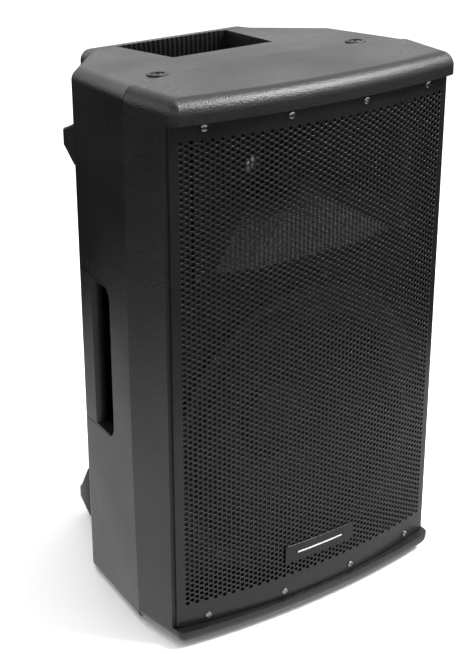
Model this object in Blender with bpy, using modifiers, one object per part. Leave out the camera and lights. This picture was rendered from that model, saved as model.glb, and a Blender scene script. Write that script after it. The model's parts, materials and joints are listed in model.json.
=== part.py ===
"""A 15-inch powered loudspeaker cabinet: three moulded shells, a bowed grille, woofer, horn and rear amplifier.

Metres, +Z up. The origin is on the floor under the centre of the box. The front faces -Y, and a distance "d" is
measured rearward from the front of the lips.
"""

from math import asin, atan2, cos, pi, radians, sin, sqrt, tan

import bmesh
import bpy
from mathutils import Euler, Matrix, Vector

# Width and height are chains of what has to fit behind the grille.
WOOFER_DIAMETER = 0.385
SIDE_MARGIN = 0.0205  # from the woofer's rim to the widest side
BOTTOM_MARGIN = 0.038
DRIVER_SPACE = 0.037  # between woofer and horn
HORN_WIDTH = 0.300
HORN_HEIGHT = 0.180
TOP_MARGIN = 0.046
FOOT_HEIGHT = 0.004

# Depth is a chain along the side wall.
SEAM_SIDE_DEPTH = 0.1014  # front lip to the front seam, at the side
SEAM_TO_GRIP = 0.0586
GRIP_OPENING = 0.046
GRIP_BAR = 0.038
CHAMFER_DEPTH = 0.081
REAR_SHELL_DEPTH = 0.027
BUMPER_DEPTH = 0.029

# Shells.
WALL = 0.005
SEAM_GAP = 0.0006
GAP = 0.0003  # between pieces that touch
JOIN_TRIM = 0.0005  # keeps the faces of two joined blocks apart
FRONT_DRAFT = 0.0095  # the front corners are this much inside the widest side
SHELL_STEP = 0.0015  # the middle shell sits this far inside the front one
SIDE_TAPER = 0.0155
CHAMFER_WIDTH = 0.068
REAR_DRAFT = 0.006
LIP_BOW_RADIUS = 1.120
SEAM_BOW_RADIUS = 0.696
SEAM_SIDE_BOW = 0.007  # the seam bows back this far at mid height
SEAM_BOW_POWER = 2
CORNER_RADIUS = 0.012
LIP_FILLET = 0.018
BODY_TOP_FILLET = 0.015
BODY_BOTTOM_FILLET = 0.008
BODY_TOP_SLOPE = 0.0575  # the top falls this much for each metre rearward
BAFFLE_DEPTH = 0.050
BAFFLE_THICKNESS = 0.012
ARC_STEPS = 10
ROUND = 32  # facets of the woofer
HORN_SIDES = 20
FILLET_STEPS = 3
CORNER_STEPS = 3

# Grille.
LIP_HEIGHT = 0.022  # bottom lip, under the grille
TOP_LIP_HEIGHT = 0.028
GRILLE_BOW_RADIUS = 0.816
GRILLE_SETBACK = 0.006  # its middle is behind the lips' middle
GRILLE_SIDE_MARGIN = 0.0018  # inside the front corners
GRILLE_EDGE_GAP = 0.0006
GRILLE_SHEET = 0.0015
GRILLE_FOLD = 0.0042
STANDOFF_PEG = 0.003
STANDOFF_SHARE = 0.68  # of the way from the woofer up to the horn
LOW_LEDGE = 0.0155  # heights of the ledges that the grille screws into
HIGH_LEDGE = 0.0145
SCREW_INSET = 0.010  # grille screw rows, from the lips
TOP_SCREW_INSET = 0.007
SCREW_SPACING = 0.1078
SCREW_COLUMNS = 4
GRILLE_SCREW_SHANK = 0.00175
DRIVER_SCREW_SHANK = 0.0022
PANEL_SCREW_SHANK = 0.0017
GRILLE_SCREW_HEAD = (0.0042, 0.0022)  # radius, height
DRIVER_SCREW_HEAD = (0.0045, 0.0026)
PANEL_SCREW_HEAD = (0.0038, 0.0022)
BADGE_SIZE = (0.108, 0.025)
BADGE_THICKNESS = 0.002
BADGE_RISE = 0.050  # its bottom edge above the bottom lip

# Handles.
GRIP_LOW = 0.229
GRIP_HIGH = 0.430
GRIP_FLARE = 0.005
GRIP_CORNER = 0.018
GRIP_THICKNESS = 0.018
POCKET_DEPTH = 0.0455  # how far the side pockets reach in
POCKET_BEHIND = 0.018  # how far they reach back past the side's corner
POCKET_TRIM = 0.002  # their ends inside the opening's
TOP_GRIP_LENGTH = 0.113
TOP_GRIP_FRONT = 0.074  # half widths
TOP_GRIP_REAR = 0.083
TOP_POCKET_DEPTH = 0.070
TOP_GRIP_THICKNESS = 0.030
RIB_PITCH = 0.0075
RIB_DEPTH = 0.0035

# Rear bumpers: heights above the shell's bottom, at the root and at the nose.
BUMPER_WIDTH = 0.040
BUMPER_OVERHANG = 0.015
UPPER_BUMPER = ((0.522, 0.577), (0.540, 0.567))
LOWER_BUMPER = ((0.004, 0.082), (0.022, 0.044))

# Woofer: heights are along its own axis, towards the front, from the baffle's face.
FLANGE_THICKNESS = 0.006
FLANGE_INNER = 0.0225  # rim to the frame's opening
WOOFER_BOLT_INSET = 0.0055
FRAME_WINDOW = 0.062
FRAME_NECK = 0.0185  # rim to the frame's outer wall
CONE_INSET = 0.0465  # rim to the cone's edge
CONE_NECK = 0.0385
CONE_DEPTH = 0.0645
PAPER = 0.0012
ROLL_HEIGHT = 0.009
CAP_RADIUS = 0.055
CAP_RISE = 0.016
COIL_LENGTH = 0.046
MAGNET_RADIUS = 0.080
MAGNET_FRONT = 0.081
MAGNET_LENGTH = 0.042

# Horn and its driver.
HORN_RIM = 0.010
HORN_LENGTH = 0.108
HORN_WALL = 0.004
THROAT_RADIUS = 0.0127
DRIVER_RADIUS = 0.048
DRIVER_LENGTH = 0.058
PLUG_TIP_RADIUS = 0.006

# Hanging and standing.
FLY_X = 0.145
FLY_DEPTH = 0.017478  # behind the front seam
FLY_RING_RADIUS = 0.013
FLY_PROUD = 0.0012
FLY_LENGTH = 0.024
FLY_BOSS_RADIUS = 0.009
FLY_BOLT_HEAD = 0.0075
FLY_BOLT_SHANK = 0.004
FOOT_RADIUS = 0.014
FRONT_FOOT = (0.150, 0.075)  # x, d
REAR_FOOT = (0.105, 0.290)
POLE_BORE = 0.0181
POLE_DEPTH = 0.075
POLE_FLANGE = 0.040
POLE_CUP_DEPTH = 0.178  # d of its centre
CUP_WALL = 0.004

# Amplifier.
PANEL_SIZE = (0.200, 0.360)
PANEL_LOW = 0.130
PANEL_THICKNESS = 0.003
PANEL_LAP = 0.012
SINK_SIZE = (0.170, 0.120)
SINK_FINS = 15
SINK_FIN_DEPTH = 0.018
SINK_BASE = 0.004
KNOB_RADIUS = 0.008
KNOB_LENGTH = 0.014
KNOB_SPACING = 0.045
KNOB_DROP = 0.032  # below the panel's top
JACK_DROP = 0.045  # below the knobs
SINK_DROP = 0.030  # below the panel's middle
MAINS_RISE = 0.040  # above the panel's bottom
INLET_X = -0.047
INLET_PLATE = (0.048, 0.027)
INLET_BODY = (0.029, 0.020)
INLET_WELL = (0.024, 0.0156)
INLET_PINS = ((-0.007, -0.002), (0.0, 0.002), (0.007, -0.002))
SWITCH_X = 0.035
SWITCH_RIM = (0.005, 0.004)
SWITCH_WALL = (0.0025, 0.0015)
PANEL_HOLE_CLEARANCE = 0.0005
BOARD_STANDOFF = 0.034
SHAFT_RADIUS = 0.003
ROCKER_SIZE = (0.018, 0.026)
ROCKER_THROW = 16  # degrees
JACK_RADIUS = 0.0118
JACK_BORE = 0.0095
JACK_LENGTH = 0.022
JACK_PLATE = (0.028, 0.034)
LATCH_SIZE = (0.010, 0.0028, 0.004)
LATCH_TRAVEL = 0.0015

# What follows from the sizes above.
HALF_WIDTH = WOOFER_DIAMETER / 2 + SIDE_MARGIN
HEIGHT = BOTTOM_MARGIN + WOOFER_DIAMETER + DRIVER_SPACE + HORN_HEIGHT + TOP_MARGIN
GRIP_START = SEAM_SIDE_DEPTH + SEAM_TO_GRIP
GRIP_END = GRIP_START + GRIP_OPENING
CORNER_DEPTH = GRIP_END + GRIP_BAR
REAR_SEAM = CORNER_DEPTH + CHAMFER_DEPTH
REAR_FACE = REAR_SEAM + REAR_SHELL_DEPTH
DEPTH = REAR_FACE + BUMPER_DEPTH
FLOOR = FOOT_HEIGHT
TOP = FLOOR + HEIGHT
WOOFER_RADIUS = WOOFER_DIAMETER / 2
WOOFER_Z = FLOOR + BOTTOM_MARGIN + WOOFER_RADIUS
HORN_Z = TOP - TOP_MARGIN - HORN_HEIGHT / 2
FRONT_CORNER = HALF_WIDTH - FRONT_DRAFT
BODY_CORNER = HALF_WIDTH - SHELL_STEP - SIDE_TAPER
REAR_CORNER = BODY_CORNER - CHAMFER_WIDTH
GRILLE_LOW = FLOOR + LIP_HEIGHT
GRILLE_HIGH = TOP - TOP_LIP_HEIGHT
GRILLE_HALF_WIDTH = FRONT_CORNER - GRILLE_SIDE_MARGIN
SEAT_SETBACK = GRILLE_SETBACK + GRILLE_FOLD + GAP
PANEL_Z = FLOOR + PANEL_LOW + PANEL_SIZE[1] / 2
PANEL_FACE = REAR_FACE + GAP + PANEL_THICKNESS
POCKET_X = BODY_CORNER - POCKET_DEPTH
POCKET_BACK = CORNER_DEPTH + POCKET_BEHIND
NOTCH_REACH = REAR_CORNER - 0.02  # inboard of the chamfers
POCKET_LOW = FLOOR + GRIP_LOW + POCKET_TRIM
POCKET_HIGH = FLOOR + GRIP_HIGH - POCKET_TRIM
TOP_POCKET_FLOOR = TOP - TOP_POCKET_DEPTH - BODY_TOP_SLOPE * (REAR_SEAM - SEAM_SIDE_DEPTH)
TOP_BAR_UNDER = TOP - BODY_TOP_SLOPE * (REAR_SEAM - SEAM_SIDE_DEPTH) - TOP_GRIP_THICKNESS
STANDOFF_Z = WOOFER_Z + WOOFER_RADIUS + DRIVER_SPACE * STANDOFF_SHARE
KNOB_Z = PANEL_Z + PANEL_SIZE[1] / 2 - KNOB_DROP
JACK_Z = KNOB_Z - JACK_DROP
SINK_Z = PANEL_Z - SINK_DROP
MAINS_Z = PANEL_Z - PANEL_SIZE[1] / 2 + MAINS_RISE
FAR = 0.5  # past everything, for cutters

FACE_FRONT = (radians(90), 0, 0)  # turns +Z to face the front
FACE_BACK = (radians(-90), 0, 0)
TOP_LEAN = (-atan2(BODY_TOP_SLOPE, 1), 0, 0)  # turns +Z square to the sloping top


def clear_scene():
    for obj in list(bpy.data.objects):
        bpy.data.objects.remove(obj, do_unlink=True)


def collection(name):
    made = bpy.data.collections.new(name)
    bpy.context.scene.collection.children.link(made)
    return made


clear_scene()
PARTS = collection("pa_speaker_cabinet")
CUTTERS = collection("cutters")
CUTTERS.hide_render = True


def material(name, colour, roughness, metallic=0.0):
    made = bpy.data.materials.new(name)
    made.use_nodes = True
    shader = made.node_tree.nodes["Principled BSDF"]
    shader.inputs["Base Color"].default_value = (*colour, 1)
    shader.inputs["Roughness"].default_value = roughness
    shader.inputs["Metallic"].default_value = metallic
    return made


SHELL_PLASTIC = material("shell_plastic", (0.020, 0.020, 0.021), 0.42)
GRILLE_STEEL = material("grille_steel", (0.018, 0.018, 0.019), 0.45, 0.2)
SCREW_STEEL = material("screw_steel", (0.62, 0.60, 0.55), 0.30, 1.0)
BADGE_METAL = material("badge_metal", (0.05, 0.05, 0.055), 0.30, 0.6)
FRAME_METAL = material("frame_metal", (0.03, 0.03, 0.032), 0.50, 0.8)
MAGNET_METAL = material("magnet_metal", (0.10, 0.10, 0.11), 0.45, 0.7)
CONE_PAPER = material("cone_paper", (0.015, 0.015, 0.016), 0.85)
SURROUND_CLOTH = material("surround_cloth", (0.012, 0.012, 0.012), 0.80)
SPIDER_CLOTH = material("spider_cloth", (0.55, 0.36, 0.14), 0.90)
COIL_COPPER = material("coil_copper", (0.72, 0.40, 0.20), 0.35, 1.0)
HORN_PLASTIC = material("horn_plastic", (0.022, 0.022, 0.023), 0.35)
PLUG_METAL = material("plug_metal", (0.45, 0.45, 0.45), 0.45, 0.6)
RUBBER = material("rubber", (0.02, 0.02, 0.02), 0.90)
KNOB_PLASTIC = material("knob_plastic", (0.02, 0.02, 0.02), 0.60)
PANEL_METAL = material("panel_metal", (0.025, 0.025, 0.027), 0.45, 0.5)
SINK_METAL = material("sink_metal", (0.04, 0.04, 0.045), 0.40, 0.8)
JACK_PLASTIC = material("jack_plastic", (0.02, 0.02, 0.022), 0.40)
LATCH_PLASTIC = material("latch_plastic", (0.45, 0.45, 0.46), 0.40)
BOARD_GREEN = material("board_green", (0.02, 0.16, 0.06), 0.55)


def at(depth):
    """The Y of a distance behind the front of the lips."""
    return depth - DEPTH / 2


def add(name, mesh, skin, home=PARTS):
    obj = bpy.data.objects.new(name, mesh)
    home.objects.link(obj)
    if skin:
        mesh.materials.append(skin)
    if home is CUTTERS:
        obj.hide_render = True
        obj.display_type = "WIRE"
    return obj


def mesh_of(bm, name):
    """The bmesh as a mesh with its faces turned outwards."""
    bmesh.ops.recalc_face_normals(bm, faces=bm.faces)
    mesh = bpy.data.meshes.new(name)
    bm.to_mesh(mesh)
    bm.free()
    return mesh


def solid(name, bm, skin=None):
    return add(name, mesh_of(bm, name), skin, PARTS if skin else CUTTERS)


def box(name, low, high, skin=None):
    bm = bmesh.new()
    bmesh.ops.create_cube(bm, size=1)
    low, high = Vector(low), Vector(high)
    bmesh.ops.scale(bm, vec=high - low, verts=bm.verts)
    bmesh.ops.translate(bm, vec=(low + high) / 2, verts=bm.verts)
    return solid(name, bm, skin)


def prism(name, outline, axis, low, high, skin=None):
    """An outline in the plane across axis, filled and extruded from low to high along it."""
    bm = bmesh.new()
    place = {
        "X": lambda a, b: (low, a, b),
        "Y": lambda a, b: (a, low, b),
        "Z": lambda a, b: (a, b, low),
    }[axis]
    face = bm.faces.new([bm.verts.new(place(*point)) for point in outline])
    grown = bmesh.ops.extrude_face_region(bm, geom=[face])["geom"]
    along = {"X": Vector((1, 0, 0)), "Y": Vector((0, 1, 0)), "Z": Vector((0, 0, 1))}[axis]
    moved = [item for item in grown if isinstance(item, bmesh.types.BMVert)]
    bmesh.ops.translate(bm, vec=along * (high - low), verts=moved)
    return solid(name, bm, skin)


def rod(name, radius, low, high, place, turn=(0, 0, 0), segments=24, skin=None):
    """A cylinder along its own Z from low to high, turned and placed."""
    bm = bmesh.new()
    bmesh.ops.create_cone(
        bm, cap_ends=True, segments=segments, radius1=radius, radius2=radius, depth=high - low
    )
    bmesh.ops.translate(bm, vec=(0, 0, (low + high) / 2), verts=bm.verts)
    obj = solid(name, bm, skin)
    obj.location = place
    obj.rotation_euler = turn
    return obj


def turned(name, profile, place, turn=(0, 0, 0), segments=32, skin=None, ring=False):
    """A turned shape: (radius, height) points run down its outside, and a ring's come back up its inside."""
    mesh = bpy.data.meshes.new(name)
    count = len(profile)
    edges = [(i, i + 1) for i in range(count - 1)]
    if ring:
        edges.append((count - 1, 0))
    mesh.from_pydata([(radius, 0, height) for radius, height in profile], edges, [])
    obj = add(name, mesh, skin, PARTS if skin else CUTTERS)
    screw = obj.modifiers.new("turn", "SCREW")
    screw.steps = screw.render_steps = segments
    screw.use_merge_vertices = True
    screw.merge_threshold = 0.00001
    screw.use_smooth_shade = True
    obj.location = place
    obj.rotation_euler = turn
    return obj


def loft(name, rings, skin=None):
    """A closed solid through rings of equal point count."""
    bm = bmesh.new()
    loops = [[bm.verts.new(point) for point in ring] for ring in rings]
    for low, high in zip(loops, loops[1:]):
        for i in range(len(low)):
            j = (i + 1) % len(low)
            bm.faces.new((low[i], low[j], high[j], high[i]))
    bm.faces.new(list(reversed(loops[0])))
    bm.faces.new(loops[-1])
    return solid(name, bm, skin)


def combine(obj, operation, *others):
    for other in others:
        step = obj.modifiers.new(other.name, "BOOLEAN")
        step.operation = operation
        step.object = other
        step.solver = "EXACT"
    return obj


def cut(obj, *others):
    return combine(obj, "DIFFERENCE", *others)


def keep(obj, *others):
    return combine(obj, "INTERSECT", *others)


def join(obj, *others):
    return combine(obj, "UNION", *others)


def rounded(corners, inset=0.0):
    """The outline through (x, y, radius) corners, counter-clockwise, moved in by inset, its corners rounded."""
    points = []
    count = len(corners)
    for i in range(count):
        before, here, after = (Vector(corners[(i + step) % count][:2]) for step in (-1, 0, 1))
        came, goes = (here - before).normalized(), (after - here).normalized()
        left, next_left = Vector((-came.y, came.x)), Vector((-goes.y, goes.x))
        corner = here + (left + next_left) * (inset / (1 + left.dot(next_left)))
        if not corners[i][2]:
            points.append(tuple(corner))
            continue
        radius = max(corners[i][2] - inset, 0.0005)
        angle = atan2(came.x * goes.y - came.y * goes.x, came.dot(goes))
        start = corner - came * (radius * tan(angle / 2))
        centre = start + left * radius
        for step in range(CORNER_STEPS + 1):
            turn = angle * step / CORNER_STEPS
            arm = start - centre
            points.append(
                (
                    centre.x + arm.x * cos(turn) - arm.y * sin(turn),
                    centre.y + arm.x * sin(turn) + arm.y * cos(turn),
                )
            )
    return points


def filleted(name, corners, fillets, slope=0.0, wall=0.0, skin=None):
    """An upright solid on a plan outline, with filleted bottom and top edges and a top that falls rearward."""
    bottom_fillet, top_fillet = (max(fillet - wall, 0.001) for fillet in fillets)
    rings = []
    for step in range(FILLET_STEPS + 1):
        angle = radians(90) * step / FILLET_STEPS
        height = FLOOR + wall + bottom_fillet * (1 - cos(angle))
        outline = rounded(corners, wall + bottom_fillet * (1 - sin(angle)))
        rings.append([(x, y, height) for x, y in outline])
    for step in range(FILLET_STEPS + 1):
        angle = radians(90) * step / FILLET_STEPS
        height = TOP - wall - top_fillet * (1 - sin(angle))
        outline = rounded(corners, wall + top_fillet * (1 - cos(angle)))
        rings.append([(x, y, height - slope * max(0.0, y - at(SEAM_SIDE_DEPTH))) for x, y in outline])
    return loft(name, rings, skin)


def bow(x, radius):
    """How far an arc of this radius has fallen back at x."""
    return radius - sqrt(radius * radius - x * x)


def arc(half, radius, setback, steps=ARC_STEPS):
    """Points from left to right along an arc bowed towards the front."""
    xs = [half * (2 * i / steps - 1) for i in range(steps + 1)]
    return [(x, at(setback + bow(x, radius))) for x in xs]


def side_x(depth):
    """The half width of the front shell."""
    slope = FRONT_DRAFT / (SEAM_SIDE_DEPTH - bow(FRONT_CORNER, LIP_BOW_RADIUS))
    return HALF_WIDTH + (depth - SEAM_SIDE_DEPTH) * slope


def body_x(depth):
    """The half width of the middle shell ahead of its chamfer."""
    share = (depth - SEAM_SIDE_DEPTH) / (CORNER_DEPTH - SEAM_SIDE_DEPTH)
    return HALF_WIDTH - SHELL_STEP - SIDE_TAPER * share


def seam_depth(x):
    """The front seam's depth on the top and bottom faces."""
    return SEAM_SIDE_DEPTH + bow(HALF_WIDTH, SEAM_BOW_RADIUS) - bow(x, SEAM_BOW_RADIUS)


def body_top(depth):
    return TOP - BODY_TOP_SLOPE * max(0.0, depth - SEAM_SIDE_DEPTH)


def seam_block(name, forward):
    """Everything behind the front seam, which bows back in the middle of the front and of the sides."""
    rings = []
    levels = 8
    for level in range(levels + 1):
        share = level / levels
        side_bow = SEAM_SIDE_BOW * (1 - abs(2 * share - 1) ** SEAM_BOW_POWER)
        reach = HALF_WIDTH + 0.02
        middle = SEAM_SIDE_DEPTH + bow(HALF_WIDTH, SEAM_BOW_RADIUS)
        xs = [reach * (2 * i / ARC_STEPS - 1) for i in range(ARC_STEPS + 1)]
        front = [
            (x, at(middle - bow(x, SEAM_BOW_RADIUS) + side_bow * abs(x / reach) ** 2 - forward)) for x in xs
        ]
        outline = front + [(reach, at(DEPTH + 0.05)), (-reach, at(DEPTH + 0.05))]
        rings.append([(x, y, -0.02 + (TOP + 0.05) * share) for x, y in outline])
    return loft(name, rings)


def mirrored(outline):
    """A plan outline of the right side, as one of the left."""
    return [(-x, y) for x, y in reversed(outline)]


def sided(right, side):
    return right if side > 0 else mirrored(right)


SIDES = (("left", -1), ("right", 1))


def front_corners():
    front = [(x, y, 0.0) for x, y in arc(FRONT_CORNER, LIP_BOW_RADIUS, 0.0)]
    front[0] = (*front[0][:2], CORNER_RADIUS)
    front[-1] = (*front[-1][:2], CORNER_RADIUS)
    back = GRIP_START
    return front + [(side_x(back), at(back), 0.0), (-side_x(back), at(back), 0.0)]


def body_corners():
    start = SEAM_SIDE_DEPTH - 0.03
    right = [
        (body_x(start), at(start), 0.0),
        (BODY_CORNER, at(CORNER_DEPTH), CORNER_RADIUS),
        (REAR_CORNER, at(REAR_SEAM), 0.0),
        (REAR_CORNER - REAR_DRAFT, at(REAR_FACE), 0.008),
    ]
    return right + [(-x, y, r) for x, y, r in reversed(right)]


def screw_places():
    """(x, y, z, turn about Z) of each grille screw, on the grille's face."""
    places = []
    for z in (GRILLE_HIGH - TOP_SCREW_INSET, GRILLE_LOW + SCREW_INSET):
        for column in range(SCREW_COLUMNS):
            x = SCREW_SPACING * (column - (SCREW_COLUMNS - 1) / 2)
            places.append(
                (x, at(GRILLE_SETBACK + bow(x, GRILLE_BOW_RADIUS)), z, asin(x / GRILLE_BOW_RADIUS))
            )
    return places


def joined_rods(name, radius, low, high, places, segments=12):
    """Separate cylinders in one cutter, each along its own Z, from (place, turn) pairs."""
    bm = bmesh.new()
    for place, turn in places:
        made = bmesh.ops.create_cone(
            bm, cap_ends=True, segments=segments, radius1=radius, radius2=radius, depth=high - low
        )["verts"]
        bmesh.ops.translate(bm, vec=(0, 0, (low + high) / 2), verts=made)
        bmesh.ops.rotate(bm, matrix=Euler(turn).to_matrix(), verts=made)
        bmesh.ops.translate(bm, vec=place, verts=made)
    return solid(name, bm)


def notch(name, side, inset, start, reach):
    """The side handle's opening through the side wall, rounded at the front and flared to the rear."""
    low, high = FLOOR + GRIP_LOW, FLOOR + GRIP_HIGH
    back = REAR_SEAM + 0.02
    outline = rounded(
        [
            (at(start), low, GRIP_CORNER),
            (at(back), low - GRIP_FLARE, 0.0),
            (at(back), high + 2 * GRIP_FLARE, 0.0),
            (at(start), high, GRIP_CORNER),
        ],
        inset,
    )
    ends = sorted((side * reach, side * FAR))
    return prism(name, outline, "X", *ends)


def side_pocket_space(name, side):
    """The finger space: in through the side wall, and round behind the grip bar."""
    bar_outer = body_x(GRIP_END)
    bar_inner = bar_outer - GRIP_THICKNESS
    nose = GRIP_THICKNESS / 2
    middle = (bar_outer + bar_inner) / 2
    outline = [(POCKET_X, at(GRIP_START + GAP)), (FAR, at(GRIP_START + GAP)), (FAR, at(GRIP_END + nose))]
    for step in range(9):
        angle = pi * step / 8
        outline.append((middle + nose * cos(angle) * 1.02, at(GRIP_END + nose - nose * sin(angle))))
    outline += [
        (bar_inner, at(CORNER_DEPTH - 0.004)),
        (bar_inner - 0.014, at(POCKET_BACK)),
        (POCKET_X, at(POCKET_BACK)),
    ]
    return prism(name, sided(outline, side), "Z", POCKET_LOW, POCKET_HIGH)


def side_pocket_block(name, side, trim):
    """What stays solid round the finger space; trim keeps a joined copy's faces off the first one's."""
    ends = sorted((side * (POCKET_X - WALL + trim), side * FAR))
    return box(
        name,
        (ends[0], at(GRIP_START - WALL + trim), POCKET_LOW - WALL + trim),
        (ends[1], at(POCKET_BACK + WALL - trim), POCKET_HIGH + WALL - trim),
    )


def rib_comb(name, side):
    """Finger grooves across the inner face of a side grip bar."""
    count = int((POCKET_HIGH - POCKET_LOW) / RIB_PITCH)
    start = (POCKET_HIGH + POCKET_LOW - count * RIB_PITCH) / 2
    outer = body_x(GRIP_END) - GRIP_THICKNESS + 0.0045
    ends = sorted((side * (outer - 0.012), side * outer))
    outline = [(at(GRIP_END - 0.004), start)]
    for i in range(count):
        base = start + i * RIB_PITCH
        outline += [
            (at(GRIP_END + 0.004), base),
            (at(GRIP_END + 0.004 + RIB_DEPTH * 2), base + 0.25 * RIB_PITCH),
            (at(GRIP_END + 0.004 + RIB_DEPTH * 2), base + 0.5 * RIB_PITCH),
            (at(GRIP_END + 0.004), base + 0.75 * RIB_PITCH),
        ]
    outline += [(at(GRIP_END - 0.004), start + count * RIB_PITCH)]
    return prism(name, outline, "X", *ends)


def top_opening(name):
    """The top handle's opening, narrower at the front, with a comb of finger grooves in the bar behind it."""
    front = REAR_SEAM - TOP_GRIP_LENGTH
    count = int(2 * (TOP_GRIP_REAR - 0.004) / RIB_PITCH)
    start = -count * RIB_PITCH / 2
    outline = [(-TOP_GRIP_FRONT, at(front)), (TOP_GRIP_FRONT, at(front)), (TOP_GRIP_REAR, at(REAR_SEAM + GAP))]
    for i in range(count):
        base = -start - i * RIB_PITCH
        outline += [
            (base, at(REAR_SEAM + GAP)),
            (base - 0.3 * RIB_PITCH, at(REAR_SEAM + RIB_DEPTH)),
            (base - 0.6 * RIB_PITCH, at(REAR_SEAM + RIB_DEPTH)),
            (base - 0.9 * RIB_PITCH, at(REAR_SEAM + GAP)),
        ]
    outline.append((-TOP_GRIP_REAR, at(REAR_SEAM + GAP)))
    return prism(name, outline, "Z", TOP_POCKET_FLOOR, TOP + 0.05)


def top_pocket_block(name, trim):
    front = REAR_SEAM - TOP_GRIP_LENGTH
    half = TOP_GRIP_REAR + WALL - trim
    return box(
        name,
        (-half, at(front - WALL + trim), TOP_POCKET_FLOOR - WALL + trim),
        (half, at(REAR_FACE - WALL + 0.002 + trim), TOP + 0.05),
    )


def bumper(name, heights, side):
    """A buttress that flares out of the rear shell's corner and ends in a narrow nose."""
    root, nose = heights
    outer = REAR_CORNER - REAR_DRAFT + BUMPER_OVERHANG
    stations = (
        (REAR_SEAM + 0.004, REAR_CORNER - 0.030, REAR_CORNER - 0.003, root, 0.0),
        (REAR_FACE, outer - BUMPER_WIDTH, outer, root, 0.0),
        (DEPTH - 0.004, outer - BUMPER_WIDTH + 0.007, outer - 0.001, nose, 0.0),
        (DEPTH, outer - BUMPER_WIDTH + 0.011, outer - 0.004, nose, 0.004),
    )
    rings = []
    for depth, inner_x, outer_x, (low, high), draw in stations:
        low, high = FLOOR + low + draw, FLOOR + high - draw
        outline = [(inner_x, low), (outer_x, low), (outer_x, high), (inner_x, high)]
        rings.append([(side * x, at(depth), z) for x, z in outline])
    return loft(name, rings)


def front_shell():
    fillets = (LIP_FILLET, LIP_FILLET)
    shell = filleted("front_shell", front_corners(), fillets, skin=SHELL_PLASTIC)
    seat = arc(HALF_WIDTH + 0.01, GRILLE_BOW_RADIUS, SEAT_SETBACK)
    recess = prism(
        "grille_recess", seat + [(FAR, -FAR), (-FAR, -FAR)], "Z", GRILLE_LOW, GRILLE_HIGH
    )
    inner = side_x(BAFFLE_DEPTH) - WALL - 0.002
    baffle_recess = box(
        "baffle_recess",
        (-inner, -FAR, GRILLE_LOW + LOW_LEDGE),
        (inner, at(BAFFLE_DEPTH), GRILLE_HIGH - HIGH_LEDGE),
    )
    back = BAFFLE_DEPTH + BAFFLE_THICKNESS
    hollow_corners = [
        (-side_x(back), at(back - WALL), 0.0),
        (side_x(back), at(back - WALL), 0.0),
        (side_x(GRIP_START), at(GRIP_START + WALL), 0.0),
        (-side_x(GRIP_START), at(GRIP_START + WALL), 0.0),
    ]
    hollow = filleted("front_hollow", hollow_corners, fillets, wall=WALL)
    ledge_back = SEAT_SETBACK + bow(inner, GRILLE_BOW_RADIUS) + WALL
    top_hollow = box(
        "top_lip_hollow",
        (-inner + WALL, at(ledge_back), GRILLE_HIGH - HIGH_LEDGE + WALL),
        (inner - WALL, at(back + 0.001), TOP - WALL - 0.001),
    )
    low_hollow = box(
        "bottom_lip_hollow",
        (-inner + WALL, at(ledge_back), FLOOR + WALL + 0.001),
        (inner - WALL, at(back + 0.001), GRILLE_LOW + LOW_LEDGE - WALL),
    )
    centre = (0, at(back - 0.006), WOOFER_Z)
    woofer_hole = rod("woofer_hole", WOOFER_RADIUS - FRAME_NECK + 0.002, -0.02, 0.02, centre, FACE_FRONT, 40)
    horn_hole = box(
        "horn_hole",
        (-HORN_WIDTH / 2 + 0.005, at(BAFFLE_DEPTH - 0.01), HORN_Z - HORN_HEIGHT / 2 + 0.005),
        (HORN_WIDTH / 2 - 0.005, at(back + 0.01), HORN_Z + HORN_HEIGHT / 2 - 0.005),
    )
    places = [((x, y, z), (radians(90), 0, turn)) for x, y, z, turn in screw_places()]
    screw_holes = joined_rods("grille_screw_holes", GRILLE_SCREW_SHANK + GAP, -0.015, 0.01, places, 8)
    bolts = joined_rods("driver_screw_holes", DRIVER_SCREW_SHANK + GAP, -0.011, 0.01, driver_screw_places(), 8)
    behind = seam_block("behind_front_seam", SEAM_GAP / 2)
    standoff_hole = rod(
        "standoff_hole", STANDOFF_PEG + GAP, -0.008, 0.01, (0, at(BAFFLE_DEPTH), STANDOFF_Z), FACE_FRONT, 12
    )
    return cut(
        shell,
        behind,
        recess,
        baffle_recess,
        hollow,
        top_hollow,
        low_hollow,
        woofer_hole,
        horn_hole,
        screw_holes,
        bolts,
        standoff_hole,
    )


def driver_screw_places():
    """(place, turn) of the woofer's and the horn's screws, on the baffle's face."""
    radius = WOOFER_RADIUS - WOOFER_BOLT_INSET
    places = []
    for i in range(4):
        angle = radians(45 + 90 * i)
        places.append((radius * cos(angle), WOOFER_Z + radius * sin(angle)))
    across, up = HORN_WIDTH / 2 + HORN_RIM / 2, HORN_HEIGHT / 2 - HORN_RIM
    places += [(x * across, HORN_Z + z * up) for x in (-1, 1) for z in (-1, 1)]
    return [((x, at(BAFFLE_DEPTH), z), FACE_FRONT) for x, z in places]


def fly_place(side):
    depth = seam_depth(FLY_X) + FLY_DEPTH
    return (side * FLY_X, at(depth), body_top(depth))


def foot_places():
    return [
        (side * x, at(depth)) for x, depth in (FRONT_FOOT, REAR_FOOT) for side in (-1, 1)
    ]


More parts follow.
